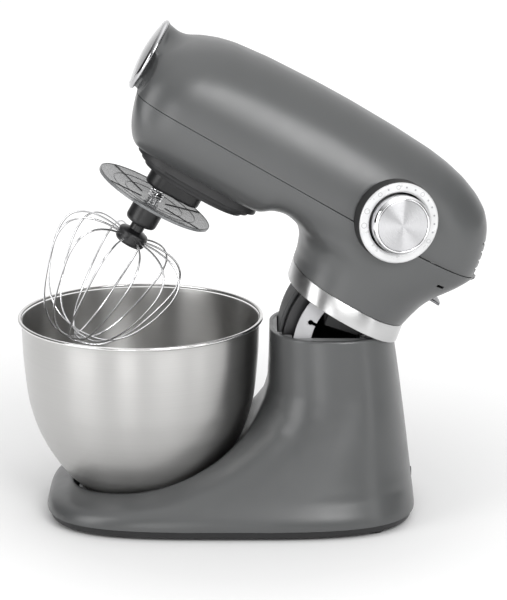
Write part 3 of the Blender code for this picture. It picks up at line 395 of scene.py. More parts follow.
def contour(name, field, lo, hi, cell, mat, lift=False, sharp=32.0):
    """Meshes the zero surface of a field by dual contouring, so that edges stay crisp."""
    cell = cell if FINE else cell * 1.9
    axes = [np.arange(a, b + cell, cell) for a, b in zip(lo, hi)]
    shape = tuple(len(a) for a in axes)
    values = np.empty(shape, np.float32)
    for i0 in range(0, shape[0], 24):
        gx, gy, gz = np.meshgrid(axes[0][i0:i0 + 24], axes[1], axes[2], indexing="ij")
        values[i0:i0 + 24] = field(gx, gy, gz)
    inside = values < 0
    strides = np.array([shape[1] * shape[2], shape[2], 1])
    crossing_cells, points, normals, quads = [], [], [], []
    for axis in range(3):
        a = [slice(None)] * 3
        b = [slice(None)] * 3
        a[axis], b[axis] = slice(0, -1), slice(1, None)
        for other in range(3):
            if other != axis:
                a[other] = b[other] = slice(1, -1)
        hit = np.argwhere(inside[tuple(a)] != inside[tuple(b)])
        hit[:, [o for o in range(3) if o != axis]] += 1
        step = np.zeros(3, int)
        step[axis] = 1
        f0 = values[tuple(hit.T)].astype(float)
        f1 = values[tuple((hit + step).T)].astype(float)
        base = np.column_stack([axes[i][hit[:, i]] for i in range(3)])
        t0, t1 = np.zeros(len(hit)), np.ones(len(hit))
        for _ in range(4):
            t = np.clip(t0 + (t1 - t0) * f0 / (f0 - f1 + 1e-30), t0 + 0.02 * (t1 - t0),
                        t1 - 0.02 * (t1 - t0))
            p = base + np.outer(t, step) * cell
            f = field(p[:, 0], p[:, 1], p[:, 2])
            same = (f < 0) == (f0 < 0)
            t0, f0 = np.where(same, t, t0), np.where(same, f, f0)
            t1, f1 = np.where(same, t1, t), np.where(same, f1, f)
        t = t0 + (t1 - t0) * f0 / (f0 - f1 + 1e-30)
        p = base + np.outer(t, step) * cell
        n = np.empty_like(p)
        e = 0.02 * cell
        for i in range(3):
            q = p.copy()
            q[:, i] += e
            up = field(q[:, 0], q[:, 1], q[:, 2])
            q[:, i] -= 2 * e
            n[:, i] = up - field(q[:, 0], q[:, 1], q[:, 2])
        n /= np.maximum(np.linalg.norm(n, axis=1), 1e-12)[:, None]
        others = [o for o in range(3) if o != axis]
        cells = []
        for d0, d1 in ((-1, -1), (0, -1), (0, 0), (-1, 0)):
            corner = hit.copy()
            corner[:, others[0]] += d0
            corner[:, others[1]] += d1
            cells.append(corner @ strides)
        cells = np.column_stack(cells)
        flip = inside[tuple(hit.T)] == (axis == 1)
        quads.append(np.where(flip[:, None], cells[:, ::-1], cells))
        crossing_cells.append(cells)
        points.append(p)
        normals.append(n)
    cells = np.vstack(crossing_cells)
    used, index = np.unique(cells.ravel(), return_inverse=True)
    which = index.reshape(-1)
    p = np.repeat(np.vstack(points), 4, axis=0)
    n = np.repeat(np.vstack(normals), 4, axis=0)
    size = len(used)
    number = np.bincount(which, minlength=size)
    mean = np.column_stack([np.bincount(which, p[:, i], size) / number for i in range(3)])
    ata = np.empty((size, 3, 3))
    for i in range(3):
        for j in range(3):
            ata[:, i, j] = np.bincount(which, n[:, i] * n[:, j], size)
    gap = np.sum(n * (p - mean[which]), axis=1)
    atb = np.column_stack([np.bincount(which, n[:, i] * gap, size) for i in range(3)])
    ata += np.eye(3) * (0.04 * number)[:, None, None]
    shift = np.linalg.solve(ata, atb[:, :, None])[:, :, 0]
    corner = np.column_stack([used // strides[0], used // strides[1] % shape[1], used % shape[2]])
    low = np.column_stack([axes[i][corner[:, i]] for i in range(3)])
    verts = np.clip(mean + shift, low - 0.02 * cell, low + 1.02 * cell)
    faces = np.searchsorted(used, np.vstack(quads))
    if lift:
        verts = raised(verts)
    return mesh_object(name, verts, faces, mat, sharp)


# ---------------------------------------------------------------- materials
class Finish:
    """A procedural material: one Principled shader and the nodes that vary it."""

    def __init__(self, name, colour, rough, metal=0.0, **sockets):
        self.mat = bpy.data.materials.new(name)
        self.mat.use_nodes = True
        self.tree = self.mat.node_tree
        self.shader = self.tree.nodes["Principled BSDF"]
        self.colour, self.rough = colour, rough
        self.shader.inputs["Base Color"].default_value = (*colour, 1.0)
        self.shader.inputs["Roughness"].default_value = rough
        self.shader.inputs["Metallic"].default_value = metal
        for key, value in sockets.items():
            self.shader.inputs[key.replace("_", " ")].default_value = value
        self.mat.diffuse_color = (*colour, 1.0)
        self.where = self.node("ShaderNodeTexCoord").outputs["Object"]

    def node(self, kind, **values):
        made = self.tree.nodes.new(kind)
        for key, value in values.items():
            setattr(made, key, value)
        return made

    def link(self, a, b):
        self.tree.links.new(a, b)

    def stretched(self, scale, turn=(0.0, 0.0, 0.0)):
        mapping = self.node("ShaderNodeMapping")
        mapping.inputs["Scale"].default_value = scale
        mapping.inputs["Rotation"].default_value = turn
        self.link(self.where, mapping.inputs["Vector"])
        return mapping.outputs["Vector"]

    def noise(self, scale, detail=3.0, vector=None, rough=0.55):
        made = self.node("ShaderNodeTexNoise")
        made.inputs["Scale"].default_value = scale
        made.inputs["Detail"].default_value = detail
        made.inputs["Roughness"].default_value = rough
        self.link(self.where if vector is None else vector, made.inputs["Vector"])
        return made.outputs["Fac"]

    def span(self, value, lo, hi, low=0.3, high=0.7):
        made = self.node("ShaderNodeMapRange")
        made.inputs["From Min"].default_value = low
        made.inputs["From Max"].default_value = high
        made.inputs["To Min"].default_value = lo
        made.inputs["To Max"].default_value = hi
        self.link(value, made.inputs["Value"])
        return made.outputs["Result"]

    def math(self, operation, a, b):
        made = self.node("ShaderNodeMath", operation=operation)
        for socket, value in zip(made.inputs, (a, b)):
            if isinstance(value, (int, float)):
                socket.default_value = value
            else:
                self.link(value, socket)
        return made.outputs[0]

    def vary_colour(self, value, dark, light):
        """Base colour between a darker and a lighter share of the finish's own."""
        mix = self.node("ShaderNodeMix", data_type="RGBA")
        mix.inputs[6].default_value = (*[c * dark for c in self.colour], 1.0)
        mix.inputs[7].default_value = (*[min(c * light, 1.0) for c in self.colour], 1.0)
        self.link(self.span(value, 0.0, 1.0), mix.inputs[0])
        self.link(mix.outputs[2], self.shader.inputs["Base Color"])
        return mix.outputs[2]

    def vary_rough(self, value, amount):
        out = self.span(value, max(self.rough - amount, 0.02), self.rough + amount)
        self.link(out, self.shader.inputs["Roughness"])

    def bump(self, height, strength, depth):
        made = self.node("ShaderNodeBump")
        made.inputs["Strength"].default_value = strength
        made.inputs["Distance"].default_value = depth
        self.link(height, made.inputs["Height"])
        self.link(made.outputs["Normal"], self.shader.inputs["Normal"])

    def brushed_round(self, turned=0.25):
        tangent = self.node("ShaderNodeTangent", direction_type="RADIAL", axis="Z")
        self.link(tangent.outputs["Tangent"], self.shader.inputs["Tangent"])
        self.shader.inputs["Anisotropic Rotation"].default_value = turned


def painted(name, colour, rough):
    f = Finish(name, colour, rough, Coat_Weight=0.25, Coat_Roughness=0.26)
    f.vary_colour(f.noise(14.0), 0.965, 1.035)
    f.vary_rough(f.noise(70.0, 4.0), 0.03)
    f.bump(f.math("ADD", f.noise(620.0, 2.0), f.math("MULTIPLY", f.noise(2600.0), 0.35)), 0.05, 0.0004)
    return f.mat


def plastic(name, colour, rough, grain=1500.0, strength=0.08, **sockets):
    f = Finish(name, colour, rough, **sockets)
    f.vary_colour(f.noise(40.0), 0.9, 1.12)
    f.vary_rough(f.noise(90.0, 4.0), 0.05)
    f.bump(f.noise(grain, 3.0), strength, 0.0003)
    return f.mat


def bare_metal(name, colour, rough, grain=900.0, strength=0.05, **sockets):
    f = Finish(name, colour, rough, 1.0, **sockets)
    f.vary_colour(f.noise(60.0), 0.94, 1.04)
    f.vary_rough(f.noise(120.0, 5.0), 0.5 * rough)
    f.bump(f.noise(grain, 3.0), strength, 0.0002)
    return f.mat


def brushed(name, colour, rough, streak, strength=0.12, turned=0.25, aniso=0.7):
    """Steel with fine scratches; streak scales the noise so it runs along the brushing."""
    f = Finish(name, colour, rough, 1.0, Anisotropic=aniso)
    lines = f.noise(1.0, 4.0, f.stretched(streak), 0.7)
    f.vary_colour(f.noise(1.0, 3.0, f.stretched(tuple(0.4 * s for s in streak)), 0.6), 0.975, 1.02)
    f.vary_rough(lines, 0.03)
    f.bump(lines, strength, 0.0001)
    f.brushed_round(turned)
    return f.mat


def spun(name, colour, rough, aniso=0.85, fine=2600.0):
    """Metal turned on a lathe: fine rings round the piece's own z axis."""
    f = Finish(name, colour, rough, 1.0, Anisotropic=aniso)
    apart = f.node("ShaderNodeSeparateXYZ")
    f.link(f.where, apart.inputs[0])
    x, y = apart.outputs[0], apart.outputs[1]
    radius = f.math("SQRT", f.math("ADD", f.math("MULTIPLY", x, x), f.math("MULTIPLY", y, y)), 0.0)
    joined = f.node("ShaderNodeCombineXYZ")
    f.link(f.math("MULTIPLY", radius, fine), joined.inputs[0])
    rings = f.noise(1.0, 3.0, joined.outputs[0], 0.6)
    f.vary_rough(rings, 0.05)
    f.vary_colour(rings, 0.94, 1.04)
    f.bump(rings, 0.1, 0.00008)
    f.brushed_round(0.25)
    return f.mat


def disc_plastic():
    """Smoke-grey clear plastic, a little dusty."""
    f = Finish("splash_disc_smoke", (0.16, 0.165, 0.17), 0.24, Alpha=0.8, Coat_Weight=0.3)
    f.vary_colour(f.noise(120.0, 4.0), 0.85, 1.15)
    f.vary_rough(f.noise(300.0, 4.0), 0.08)
    f.bump(f.noise(700.0), 0.04, 0.0002)
    return f.mat


PAINT = painted("dark_grey_enamel", (0.066, 0.068, 0.069), 0.36)
PAINT_LIGHT = painted("column_top_grey", (0.2, 0.203, 0.205), 0.42)
SOLE = plastic("sole_black", (0.012, 0.012, 0.013), 0.5)
RUBBER = plastic("foot_rubber", (0.02, 0.02, 0.02), 0.85, 2400.0, 0.2)
BLACK = plastic("gloss_black_plastic", (0.012, 0.012, 0.013), 0.38, 900.0, 0.03)
BLACK_MATT = plastic("matt_black_plastic", (0.016, 0.016, 0.017), 0.5, 2000.0, 0.15)
ARC_GREY = plastic("arc_plate_grey", (0.42, 0.42, 0.43), 0.42, 1800.0, 0.06)
DIAL_GREY = plastic("dial_mark_grey", (0.28, 0.28, 0.29), 0.5)
SILVER = plastic("dial_silver_paint", (0.6, 0.603, 0.607), 0.3, 2600.0, 0.05, Metallic=0.25)
GASKET = plastic("gasket_rubber", (0.02, 0.02, 0.02), 0.6)
NYLON = plastic("gear_nylon", (0.8, 0.78, 0.7), 0.5)
BELT = plastic("belt_rubber", (0.015, 0.015, 0.015), 0.8, 3000.0, 0.2)
STEEL = brushed("bowl_brushed_steel", (0.5, 0.496, 0.488), 0.32, (6.0, 6.0, 2600.0), 0.04, aniso=0.8)
COLLAR_STEEL = brushed("collar_brushed_steel", (0.52, 0.52, 0.52), 0.3, (4.0, 4.0, 2400.0), 0.03)
RIM_STEEL = bare_metal("bowl_rim_steel", (0.72, 0.715, 0.71), 0.16, 1500.0, 0.02)
CHROME = bare_metal("chrome", (0.84, 0.84, 0.85), 0.06, 300.0, 0.01)
WIRE = bare_metal("whisk_wire_steel", (0.74, 0.74, 0.75), 0.14, 1200.0, 0.02)
SPUN = spun("spun_aluminium", (0.5, 0.5, 0.51), 0.27, 0.95)
CAP_CHROME = bare_metal("cap_dark_chrome", (0.5, 0.5, 0.51), 0.1, 400.0, 0.01)
LEVER_STEEL = bare_metal("lever_steel", (0.2, 0.2, 0.21), 0.3, 1200.0, 0.02)
ARM_GREY = plastic("arm_shroud_grey", (0.045, 0.046, 0.047), 0.6, 1800.0, 0.06)
RIB = plastic("disc_rib_smoke", (0.03, 0.03, 0.032), 0.35)
CAST = bare_metal("cast_aluminium", (0.5, 0.51, 0.52), 0.5, 1400.0, 0.3)
GEAR_STEEL = bare_metal("gear_steel", (0.4, 0.4, 0.41), 0.32, 1600.0, 0.08)
COPPER = bare_metal("motor_windings", (0.55, 0.24, 0.1), 0.4, 2000.0, 0.3)
IRON = bare_metal("motor_laminations", (0.25, 0.25, 0.26), 0.5, 2000.0, 0.2)
DISC = disc_plastic()


# ---------------------------------------------------------------- base
base_stack = stack_field(BASE_STATIONS, 2.5)
recess_wall = curve([(12.0, 60.0)] + [(z, r + 3.2 + 5.3 * min(max((z - 45.0) / 45.0, 0.0), 1.0))
                                      for r, z in BOWL_PROFILE if z > 27.0], 2.0)


def recess_field(x, y, z):
    radius = np.hypot(x - BOWL_X, y)
    edge, slope = recess_wall(z)
    return smax((radius - edge) / np.sqrt(1 + slope**2), 12.0 - z, 6.0)


def collar_clear(x, z):
    """Plane that clears the collar's rear edge."""
    return 12.9 - ((x - HINGE[0]) * math.sin(HEAD_TILT) + (z - HINGE[1]) * math.cos(HEAD_TILT))


def base_field(x, y, z):
    body = base_stack(x, y, z)
    body = smax(body, z - 178.0, 1.6)
    body = np.maximum(body, 10.0 - z)
    body = smax(body, -recess_field(x, y, z), 5.0)
    inner = np.maximum(base_stack(x, y, z, WALL), 104.0 - z)
    inner = np.maximum(inner, WALL - recess_field(x, y, z))
    body = np.maximum(body, -inner)
    body = np.maximum(body, -collar_clear(x, z))
    gland = np.maximum(np.hypot(y, z - 30.0) - 6.8, 138.0 - x)
    return np.maximum(body, -gland)


def base_parts():
    body = contour("base_body", base_field, (-199.0, -118.0, 6.0), (158.0, 118.0, 182.0), 1.35, PAINT)
    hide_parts("base_shell")
    front, rear, half, n = BASE_STATIONS[0][1:]
    rings = []
    for z, inset in ((3.0, 4.6), (3.2, 3.7), (3.8, 3.1), (9.0, 1.0), (9.5, 0.9), (9.8, 1.4)):
        flat = oval(front + inset, rear - inset, half - inset, n, 240)
        rings.append(np.column_stack([flat, np.full(240, z)]))
    sole = mesh_object("sole", *loft(rings), SOLE)
    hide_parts("base_sole")
    cap = contour("column_top", cap_field, (8.0, -66.0, 171.0), (134.0, 66.0, 180.0), 0.9, PAINT_LIGHT)
    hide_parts("column_cap")
    profile = [(0, 141.0), (9.5, 141.0), (9.5, 144.2), (6.5, 144.2), (6.5, 146.4), (5.6, 146.4),
               (5.6, 147.4), (6.3, 147.4), (6.2, 148.8), (5.2, 148.8), (5.2, 149.8), (5.9, 149.8),
               (5.8, 151.6), (3.6, 151.6), (3.6, 148.0), (0, 148.0)]
    gland = mesh_object("cable_gland", *revolve(rounded(profile, 0.3, 3), 64, (0, 0, 30.0), "x"),
                        BLACK_MATT)
    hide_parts("cord_gland")
    for piece in (body, sole, cap, gland):
        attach(piece, "base")


def cap_field(x, y, z):
    plate = np.maximum(base_stack(x, y, np.full_like(z, 177.0), 3.3), np.maximum(174.0 - z, z - 177.6))
    slot = np.minimum(
        box_field(x, y, z, (23.2, -28.0, 160.0), (150.0, 28.0, 190.0)),
        box_field(x, y, z, (27.6, -38.0, 160.0), (150.0, 38.0, 190.0)),
    )
    slot = np.minimum(slot, box_field(x, y, z, (36.8, -49.3, 160.0), (150.0, 49.3, 190.0)))
    return smax(plate, -slot, 0.8)


# ---------------------------------------------------------------- bowl
def bowl_part():
    outer = smooth_line(BOWL_PROFILE, 70)
    tangent = np.gradient(outer, axis=0)
    tangent /= np.linalg.norm(tangent, axis=1)[:, None]
    inner = outer + 1.2 * np.column_stack([-tangent[:, 1], tangent[:, 0]])
    wall = [(0.0, 17.2), (42.0, 17.2)] + [tuple(p) for p in outer]
    wall += [tuple(p) for p in inner[::-1]] + [(42.0, 18.4), (0.0, 18.4)]
    place = Matrix.Translation((BOWL_X * MM, 0, 0))
    bowl = mesh_object("bowl_wall", *revolve(wall, 224), STEEL, matrix=place)
    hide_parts("bowl")
    a = np.radians(np.arange(0, 360, 15))
    bead = list(zip(113.65 + 1.75 * np.cos(a), 185.0 + 1.75 * np.sin(a)))
    rim = mesh_object("bowl_rim", *revolve(bead, 224), RIM_STEEL, matrix=place)
    for piece in (bowl, rim):
        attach(piece, "bowl")


# ---------------------------------------------------------------- head shells
head_top = curve(TOP_LINE, 3.0)
head_low = curve(HULL_LINE, 3.0)


def half_width(x):
    t = np.clip(1 - (x - HEAD_FRONT) / NOSE_CORNER, 0.0, 1.0)
    nose = NOSE_FLAT + (HEAD_HALF - NOSE_FLAT) * (1 - t**2.3) ** (1 / 2.3)
    t = np.clip((x - HEAD_MID) / (HEAD_REAR - HEAD_MID), 0.0, 0.9995)
    tail = HEAD_HALF * (1 - t**2.7) ** (1 / 2.7)
    return np.where(x < HEAD_MID, nose, tail)


_x = np.arange(HEAD_FRONT, HEAD_REAR - 0.3, 0.5)
head_side = curve(list(zip(_x, half_width(_x))), 1.2)


def crown_field(x, y, z, inset=0.0):
    top, top1 = head_top(x)
    side, side1 = head_side(x)
    side = np.maximum(side - inset, 2.0)
    rise = np.maximum(top - SEAM_Z - inset, 2.0)
    up = np.maximum(z - SEAM_Z, 0.0)
    return superellipse(y, up, 2.3, side1, top1, side, rise)


def hull_field(x, y, z, inset=0.0):
    low, low1 = head_low(x)
    side, side1 = head_side(x)
    side = np.maximum(side - inset, 2.0)
    drop = np.maximum(SEAM_Z - low - inset, 0.8)
    down = np.maximum(SEAM_Z - z, 0.0)
    return superellipse(y, down, 3.0, side1, -low1, side, drop)


boss_line = curve([(-215.0, 33.6), (-199.0, 33.4), (-195.0, 32.8), (-190.0, 31.9), (-182.0, 31.0),
                   (-160.0, 30.4)], 1.5)


def boss_field(x, y, z):
    radius, _ = boss_line(x)
    body = np.hypot(y, z - CAP_Z) - radius
    return smax(np.maximum(body, x + 165.0), -199.0 - x, 1.2)


def scoop_field(x, y, z):
    """Finger hollows behind the cap, one on each side of the nose."""
    u = (x + 201.0) / 9.5
    v = (np.abs(y) - 50.0) / 24.0
    w = (z - 288.0) / 27.0
    g = np.sqrt(u * u + v * v + w * w) + 1e-9
    return (g - 1.0) * 9.0


def knob_hole(x, y, z):
    axis = np.array(Vector(KNOB_AXIS).normalized())
    d = [q - c for q, c in zip((x, y, z), KNOB_AT)]
    along = d[0] * axis[0] + d[1] * axis[1] + d[2] * axis[2]
    square = d[0] ** 2 + d[1] ** 2 + d[2] ** 2 - along**2
    return np.maximum(np.sqrt(np.maximum(square, 0.0)) - BEZEL_R - 0.5, -17.4 - along)


def crown_solid(x, y, z):
    shape = smax(crown_field(x, y, z), HEAD_FRONT - x, 5.0)
    shape = smin(shape, boss_field(x, y, z), 7.0)
    shape = smax(shape, -scoop_field(x, y, z), 0.6)
    shape = np.maximum(shape, SEAM_Z + 0.25 - z)
    inside = smax(crown_field(x, y, z, WALL), HEAD_FRONT + 7.0 - x, 5.0)
    shape = np.maximum(shape, -inside)
    for k in range(4):
        low = 273.0 + 8.0 * k
        shape = np.maximum(shape, -box_field(x, y, z, (140.0, -24.0, low), (175.0, 24.0, low + 3.4)))
    hub = np.maximum(np.hypot(y, z - CAP_Z) - 24.3, x + 160.0)
    shape = np.maximum(shape, -hub)
    return np.maximum(shape, -knob_hole(x, y, z))


neck_stack = stack_field(NECK_STATIONS, 2.0)


def hull_solid(x, y, z):
    body = smax(hull_field(x, y, z), HEAD_FRONT - x, 5.0)
    neck = np.maximum(neck_stack(x, y, z), 195.4 - z)
    neck = np.maximum(neck, z - SEAM_Z)
    shape = smin(body, neck, 5.0)
    shape = np.maximum(shape, z - SEAM_Z + 0.25)
    inside = smax(hull_field(x, y, z, WALL), HEAD_FRONT + 7.0 - x, 5.0)
    shape = np.maximum(shape, -inside)
    shape = np.maximum(shape, -neck_stack(x, y, z, WALL))
    hole = np.maximum(np.hypot(x - BOWL_X, y) - 35.2, z - 230.0)
    shape = np.maximum(shape, -hole)
    shape = np.maximum(shape, -box_field(x, y, z, (120.0, -15.2, 218.4), (152.0, 15.2, 230.4)))
    dimple = np.sqrt((x + 11.1) ** 2 + (np.abs(y) - 67.6) ** 2 + (z - 247.8) ** 2) - 3.4
    shape = np.maximum(shape, -dimple)
    notch = box_field(x, np.abs(y), z, (130.5, 36.5, 247.3), (137.5, 70.0, 249.9))
    shape = np.maximum(shape, -notch)
    return np.maximum(shape, -knob_hole(x, y, z))


def head_shells():
    crown = contour("head_crown", crown_solid, (-204.0, -70.0, 262.0), (167.0, 70.0, 354.0), 1.35,
                    PAINT, True)
    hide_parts("head_upper_shell")
    hull = contour("head_hull", hull_solid, (-201.0, -70.0, 191.0), (167.0, 70.0, 270.0), 1.35,
                   PAINT, True)
    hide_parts("head_lower_shell")
    for piece in (crown, hull):
        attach(piece, "head")


def collar_part():
    low, high = (178.4, 13.6, 131.6, 65.4, 2.34), (195.0, 9.9, 128.8, 63.6, 2.34)
    rings = []
    for z, inset in ((178.4, 0.7), (178.6, 0.25), (179.0, 0.0), (194.2, 0.0), (194.8, 0.25),
                     (195.0, 0.7), (195.0, 4.5), (178.4, 4.5)):
        t = (z - low[0]) / (high[0] - low[0])
        front, rear, half, n = (low[i] + (high[i] - low[i]) * t for i in range(1, 5))
        flat = oval(front + inset, rear - inset, half - inset, n, 200)
        rings.append(np.column_stack([flat, np.full(200, z)]) - np.array([71.0, 0, 186.0]))
    collar = mesh_object("steel_collar", *loft(rings, True), COLLAR_STEEL, 28.0,
                         head_matrix((71.0, 0.0, 186.0)))
    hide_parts("collar_band")
    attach(collar, "head")


# ---------------------------------------------------------------- tilt arms
def arc_sweep(profile, low, high, steps=48):
    """A (radius, y) outline carried round the hinge axis."""
    rings = []
    for a in np.radians(np.linspace(low, high, steps)):
        rings.append([(HINGE[0] - r * math.cos(a), y, HINGE[1] + r * math.sin(a)) for r, y in profile])
    verts, faces = loft(np.array(rings))
    return raised(verts), faces


def notched_band():
    """Outline of a tilt plate, with the latch notch opening on its inner edge."""
    def at(r, a):
        return (HINGE[0] - r * math.cos(a), HINGE[1] + r * math.sin(a))

    low, high, mid = math.radians(ARM_LOW), math.radians(ARM_HIGH), math.radians(-4.5)
    pts = [at(73.0, a) for a in np.linspace(low, high, 44)]
    pts += [at(57.0, a) for a in np.linspace(high, mid + 1.6 / 57.0, 26)]
    for a in np.radians(np.linspace(140, -140, 15)):
        r = 62.4 - 2.5 * math.cos(a + math.pi)
        pts.append(at(r, mid + 2.5 * math.sin(a) / r))
    pts += [at(57.0, a) for a in np.linspace(mid - 1.6 / 57.0, low, 22)]
    return pts


def arm_parts():
    outline = [(82.6, -26.5), (86.6, -26.5), (86.6, 26.5), (82.6, 26.5)]
    shroud = mesh_object("arm_shroud", *arc_sweep(rounded(outline, 1.6, 5), ARM_LOW, ARM_HIGH), ARM_GREY)
    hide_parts("arc_shroud")
    outline = [(70.5, -34.5), (82.3, -34.5), (82.3, 34.5), (70.5, 34.5), (70.5, 31.5), (79.0, 31.5),
               (79.0, -31.5), (70.5, -31.5)]
    liner = mesh_object("arm_liner", *arc_sweep(rounded(outline, 0.9, 4), ARM_LOW + 1, ARM_HIGH), BLACK)
    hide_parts("arc_liner")
    for name, side in (("near", -1), ("far", 1)):
        lo, hi = sorted((side * 45.0, side * 48.0))
        verts, faces = prism(notched_band(), lo, hi, 0.35)
        plate = mesh_object("arm_plate_" + name, raised(verts), faces, ARC_GREY)
        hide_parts("tilt_plate_" + name)
        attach(plate, "head")
    skirt = rounded([(57.2, 195.7), (57.6, 180.0), (60.5, 162.0), (94.0, 169.0), (94.0, 195.7)], 3.0)
    verts, faces = prism(skirt, -40.0, 40.0, 1.0)
    cover = mesh_object("arm_inner_cover", raised(verts), faces, BLACK_MATT)
    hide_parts("arm_cover")
    for piece in (shroud, liner, cover):
        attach(piece, "head")


# ---------------------------------------------------------------- drive outlet
def outlet_parts():
    """Stepped skirt under the head and the turning block inside it."""
    steps = [(222.4, 61.0, 39.4), (215.4, 62.0, 40.0), (214.8, 61.8, 39.9), (214.6, 61.2, 39.5),
             (214.6, 57.4, 38.3), (214.2, 57.0, 38.0), (211.4, 56.5, 37.7), (210.9, 56.3, 37.5),
             (210.8, 55.8, 37.2), (210.8, 52.0, 36.5), (210.4, 51.6, 36.2), (207.8, 51.0, 35.9),
             (207.2, 50.7, 35.7), (207.0, 50.0, 35.3)]
    count = 180
    rings = []
    for z, reach, half in steps:
        flat = oval(BOWL_X - reach, BOWL_X + reach, half, 2.4, count)
        rings.append(np.column_stack([flat, np.full(count, z)]))
    hole = oval(BOWL_X - 33.2, BOWL_X + 33.2, 33.2, 2.0, count)
    for z in (207.0, 222.4):
        rings.append(np.column_stack([hole, np.full(count, z)]))
    verts, faces = loft(rings, True)
    skirt = mesh_object("outlet_skirt", raised(verts), faces, BLACK_MATT)
    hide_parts("trim_ring")
    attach(skirt, "head")
    block = contour("outlet_block", block_field, (-150.0, -35.0, 189.0), (-70.0, 35.0, 227.0), 0.7,
                    BLACK, True)
    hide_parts("planet_carrier")
    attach(block, "carrier")


def block_field(x, y, z):
    disc = smax(np.hypot(x - BOWL_X, y) - 32.6, np.maximum(206.0 - z, z - 224.6), 1.0)
    along = np.clip((x - BEATER_X) / 26.0, 0.0, 1.0)
    spine = np.hypot(x - BEATER_X - 26.0 * along, y) - (15.6 - 2.4 * along)
    boss = smax(spine, np.maximum(191.2 - z, z - 212.0), 3.0)
    shape = smin(disc, boss, 3.0)
    collar = smax(np.hypot(x - BEATER_X, y) - 9.0, np.maximum(190.0 - z, z - 200.0), 0.8)
    shape = np.minimum(shape, collar)
    return np.maximum(shape, 5.4 - np.hypot(x - BEATER_X, y))


# ---------------------------------------------------------------- whisk
def disc_top(r):
    """Height of the splash disc's upper face, which rises outside its hub."""
    return DISC_Z + 0.8 + DISC_RISE * (r - DISC_HUB_R) / (DISC_R - DISC_HUB_R)


def whisk_parts():
    at = (BEATER_X, 0, 0)

    def turned(name, profile, mat, body, node, slot, segs=72, soft=0.5):
        verts, faces = revolve(rounded(profile, soft, 4), segs, at)
        piece = mesh_object(name, raised(verts), faces, mat)
        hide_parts(node)
        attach(piece, body)
        return piece

    turned("drive_shaft", [(0, 154.6), (4.6, 154.6), (5.0, 155.2), (5.0, 186.0), (4.6, 186.4),
                           (4.6, 187.2), (5.0, 187.6), (5.0, 233.6), (0, 233.6)],
           CHROME, "beater", "beater_shaft", "chrome", 48, 0.2)
    turned("splash_disc_plate",
           [(5.4, DISC_Z - 0.8), (DISC_HUB_R, DISC_Z - 0.8), (DISC_R - 1.4, DISC_Z + DISC_RISE - 0.8),
            (DISC_R - 1.4, DISC_Z + DISC_RISE - 1.8), (DISC_R, DISC_Z + DISC_RISE - 1.8),
            (DISC_R, DISC_Z + DISC_RISE + 0.8), (DISC_HUB_R, DISC_Z + 0.8),
            (5.4, DISC_Z + 0.8)],
           DISC, "beater", "splash_disc", "splash_disc_plastic", 160, 0.3)
    shapes = []
    for r in (30.0, 43.0, DISC_R - 0.7):
        low, high = disc_top(r) - 0.5, disc_top(r) + 0.25
        ring = [(r - 0.2, low), (r + 0.2, low), (r + 0.2, high), (r - 0.2, high)]
        shapes.append(revolve(ring, 160, at))
    for angle in DISC_RIBS:
        a = math.radians(angle)
        line = [(BEATER_X + r * math.cos(a), r * math.sin(a), disc_top(r) + 0.1)
                for r in (DISC_HUB_R + 0.5, 36.0, 57.0)]
        shapes.append(tube(line, 0.6, 8))
    verts, faces = merged(shapes)
    ribs = mesh_object("splash_disc_ribs", raised(verts), faces, RIB)
    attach(ribs, "beater")
    turned("socket_body",
           [(5.3, 154.0), (11.0, 152.2), (14.2, 153.4), (15.2, 156.0), (15.2, 173.6),
            (13.6, DISC_Z - 1.1), (5.3, DISC_Z - 1.1)],
           BLACK, "whisk", "whisk_socket", "black_plastic", 72, 1.2)
    turned("crown_body",
           [(0, 154.2), (4.8, 154.2), (4.8, 152.0), (6.6, 151.6), (6.6, 145.2), (13.4, 143.6),
            (14.6, 142.0), (14.6, 133.0), (12.6, 130.8), (0, 130.8)],
           BLACK, "whisk", "whisk_crown", "black_plastic", 72, 0.9)
    a = np.linspace(0, 8 * np.pi, 240)
    path = np.column_stack([BEATER_X + 6.4 * np.cos(a), 6.4 * np.sin(a), 180.2 + 9.6 * a / a[-1]])
    verts, faces = tube(path, 0.8, 10)
    spring = mesh_object("lift_spring", raised(verts), faces, CHROME)
    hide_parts("shaft_spring")
    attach(spring, "beater")
    half = smooth_line(WHISK_LINE, 64)
    for k in range(WIRE_LOOPS):
        turn = math.pi * (k + 0.5) / WIRE_LOOPS
        path = []
        for side in (1, -1):
            rows = half if side == 1 else half[:-1][::-1]
            for r, z in rows:
                fade = max(0.0, 1 - (z - 21.6) / 60.0)
                lift = 2.2 * k * fade
                path.append((BEATER_X + side * r * math.cos(turn), side * r * math.sin(turn), z + lift))
        verts, faces = tube(path, WIRE_R, 12)
        wire = mesh_object("wire_loop_%d" % (k + 1), raised(verts), faces, WIRE)
        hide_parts("whisk_wire_%d" % (k + 1))
        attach(wire, "whisk")


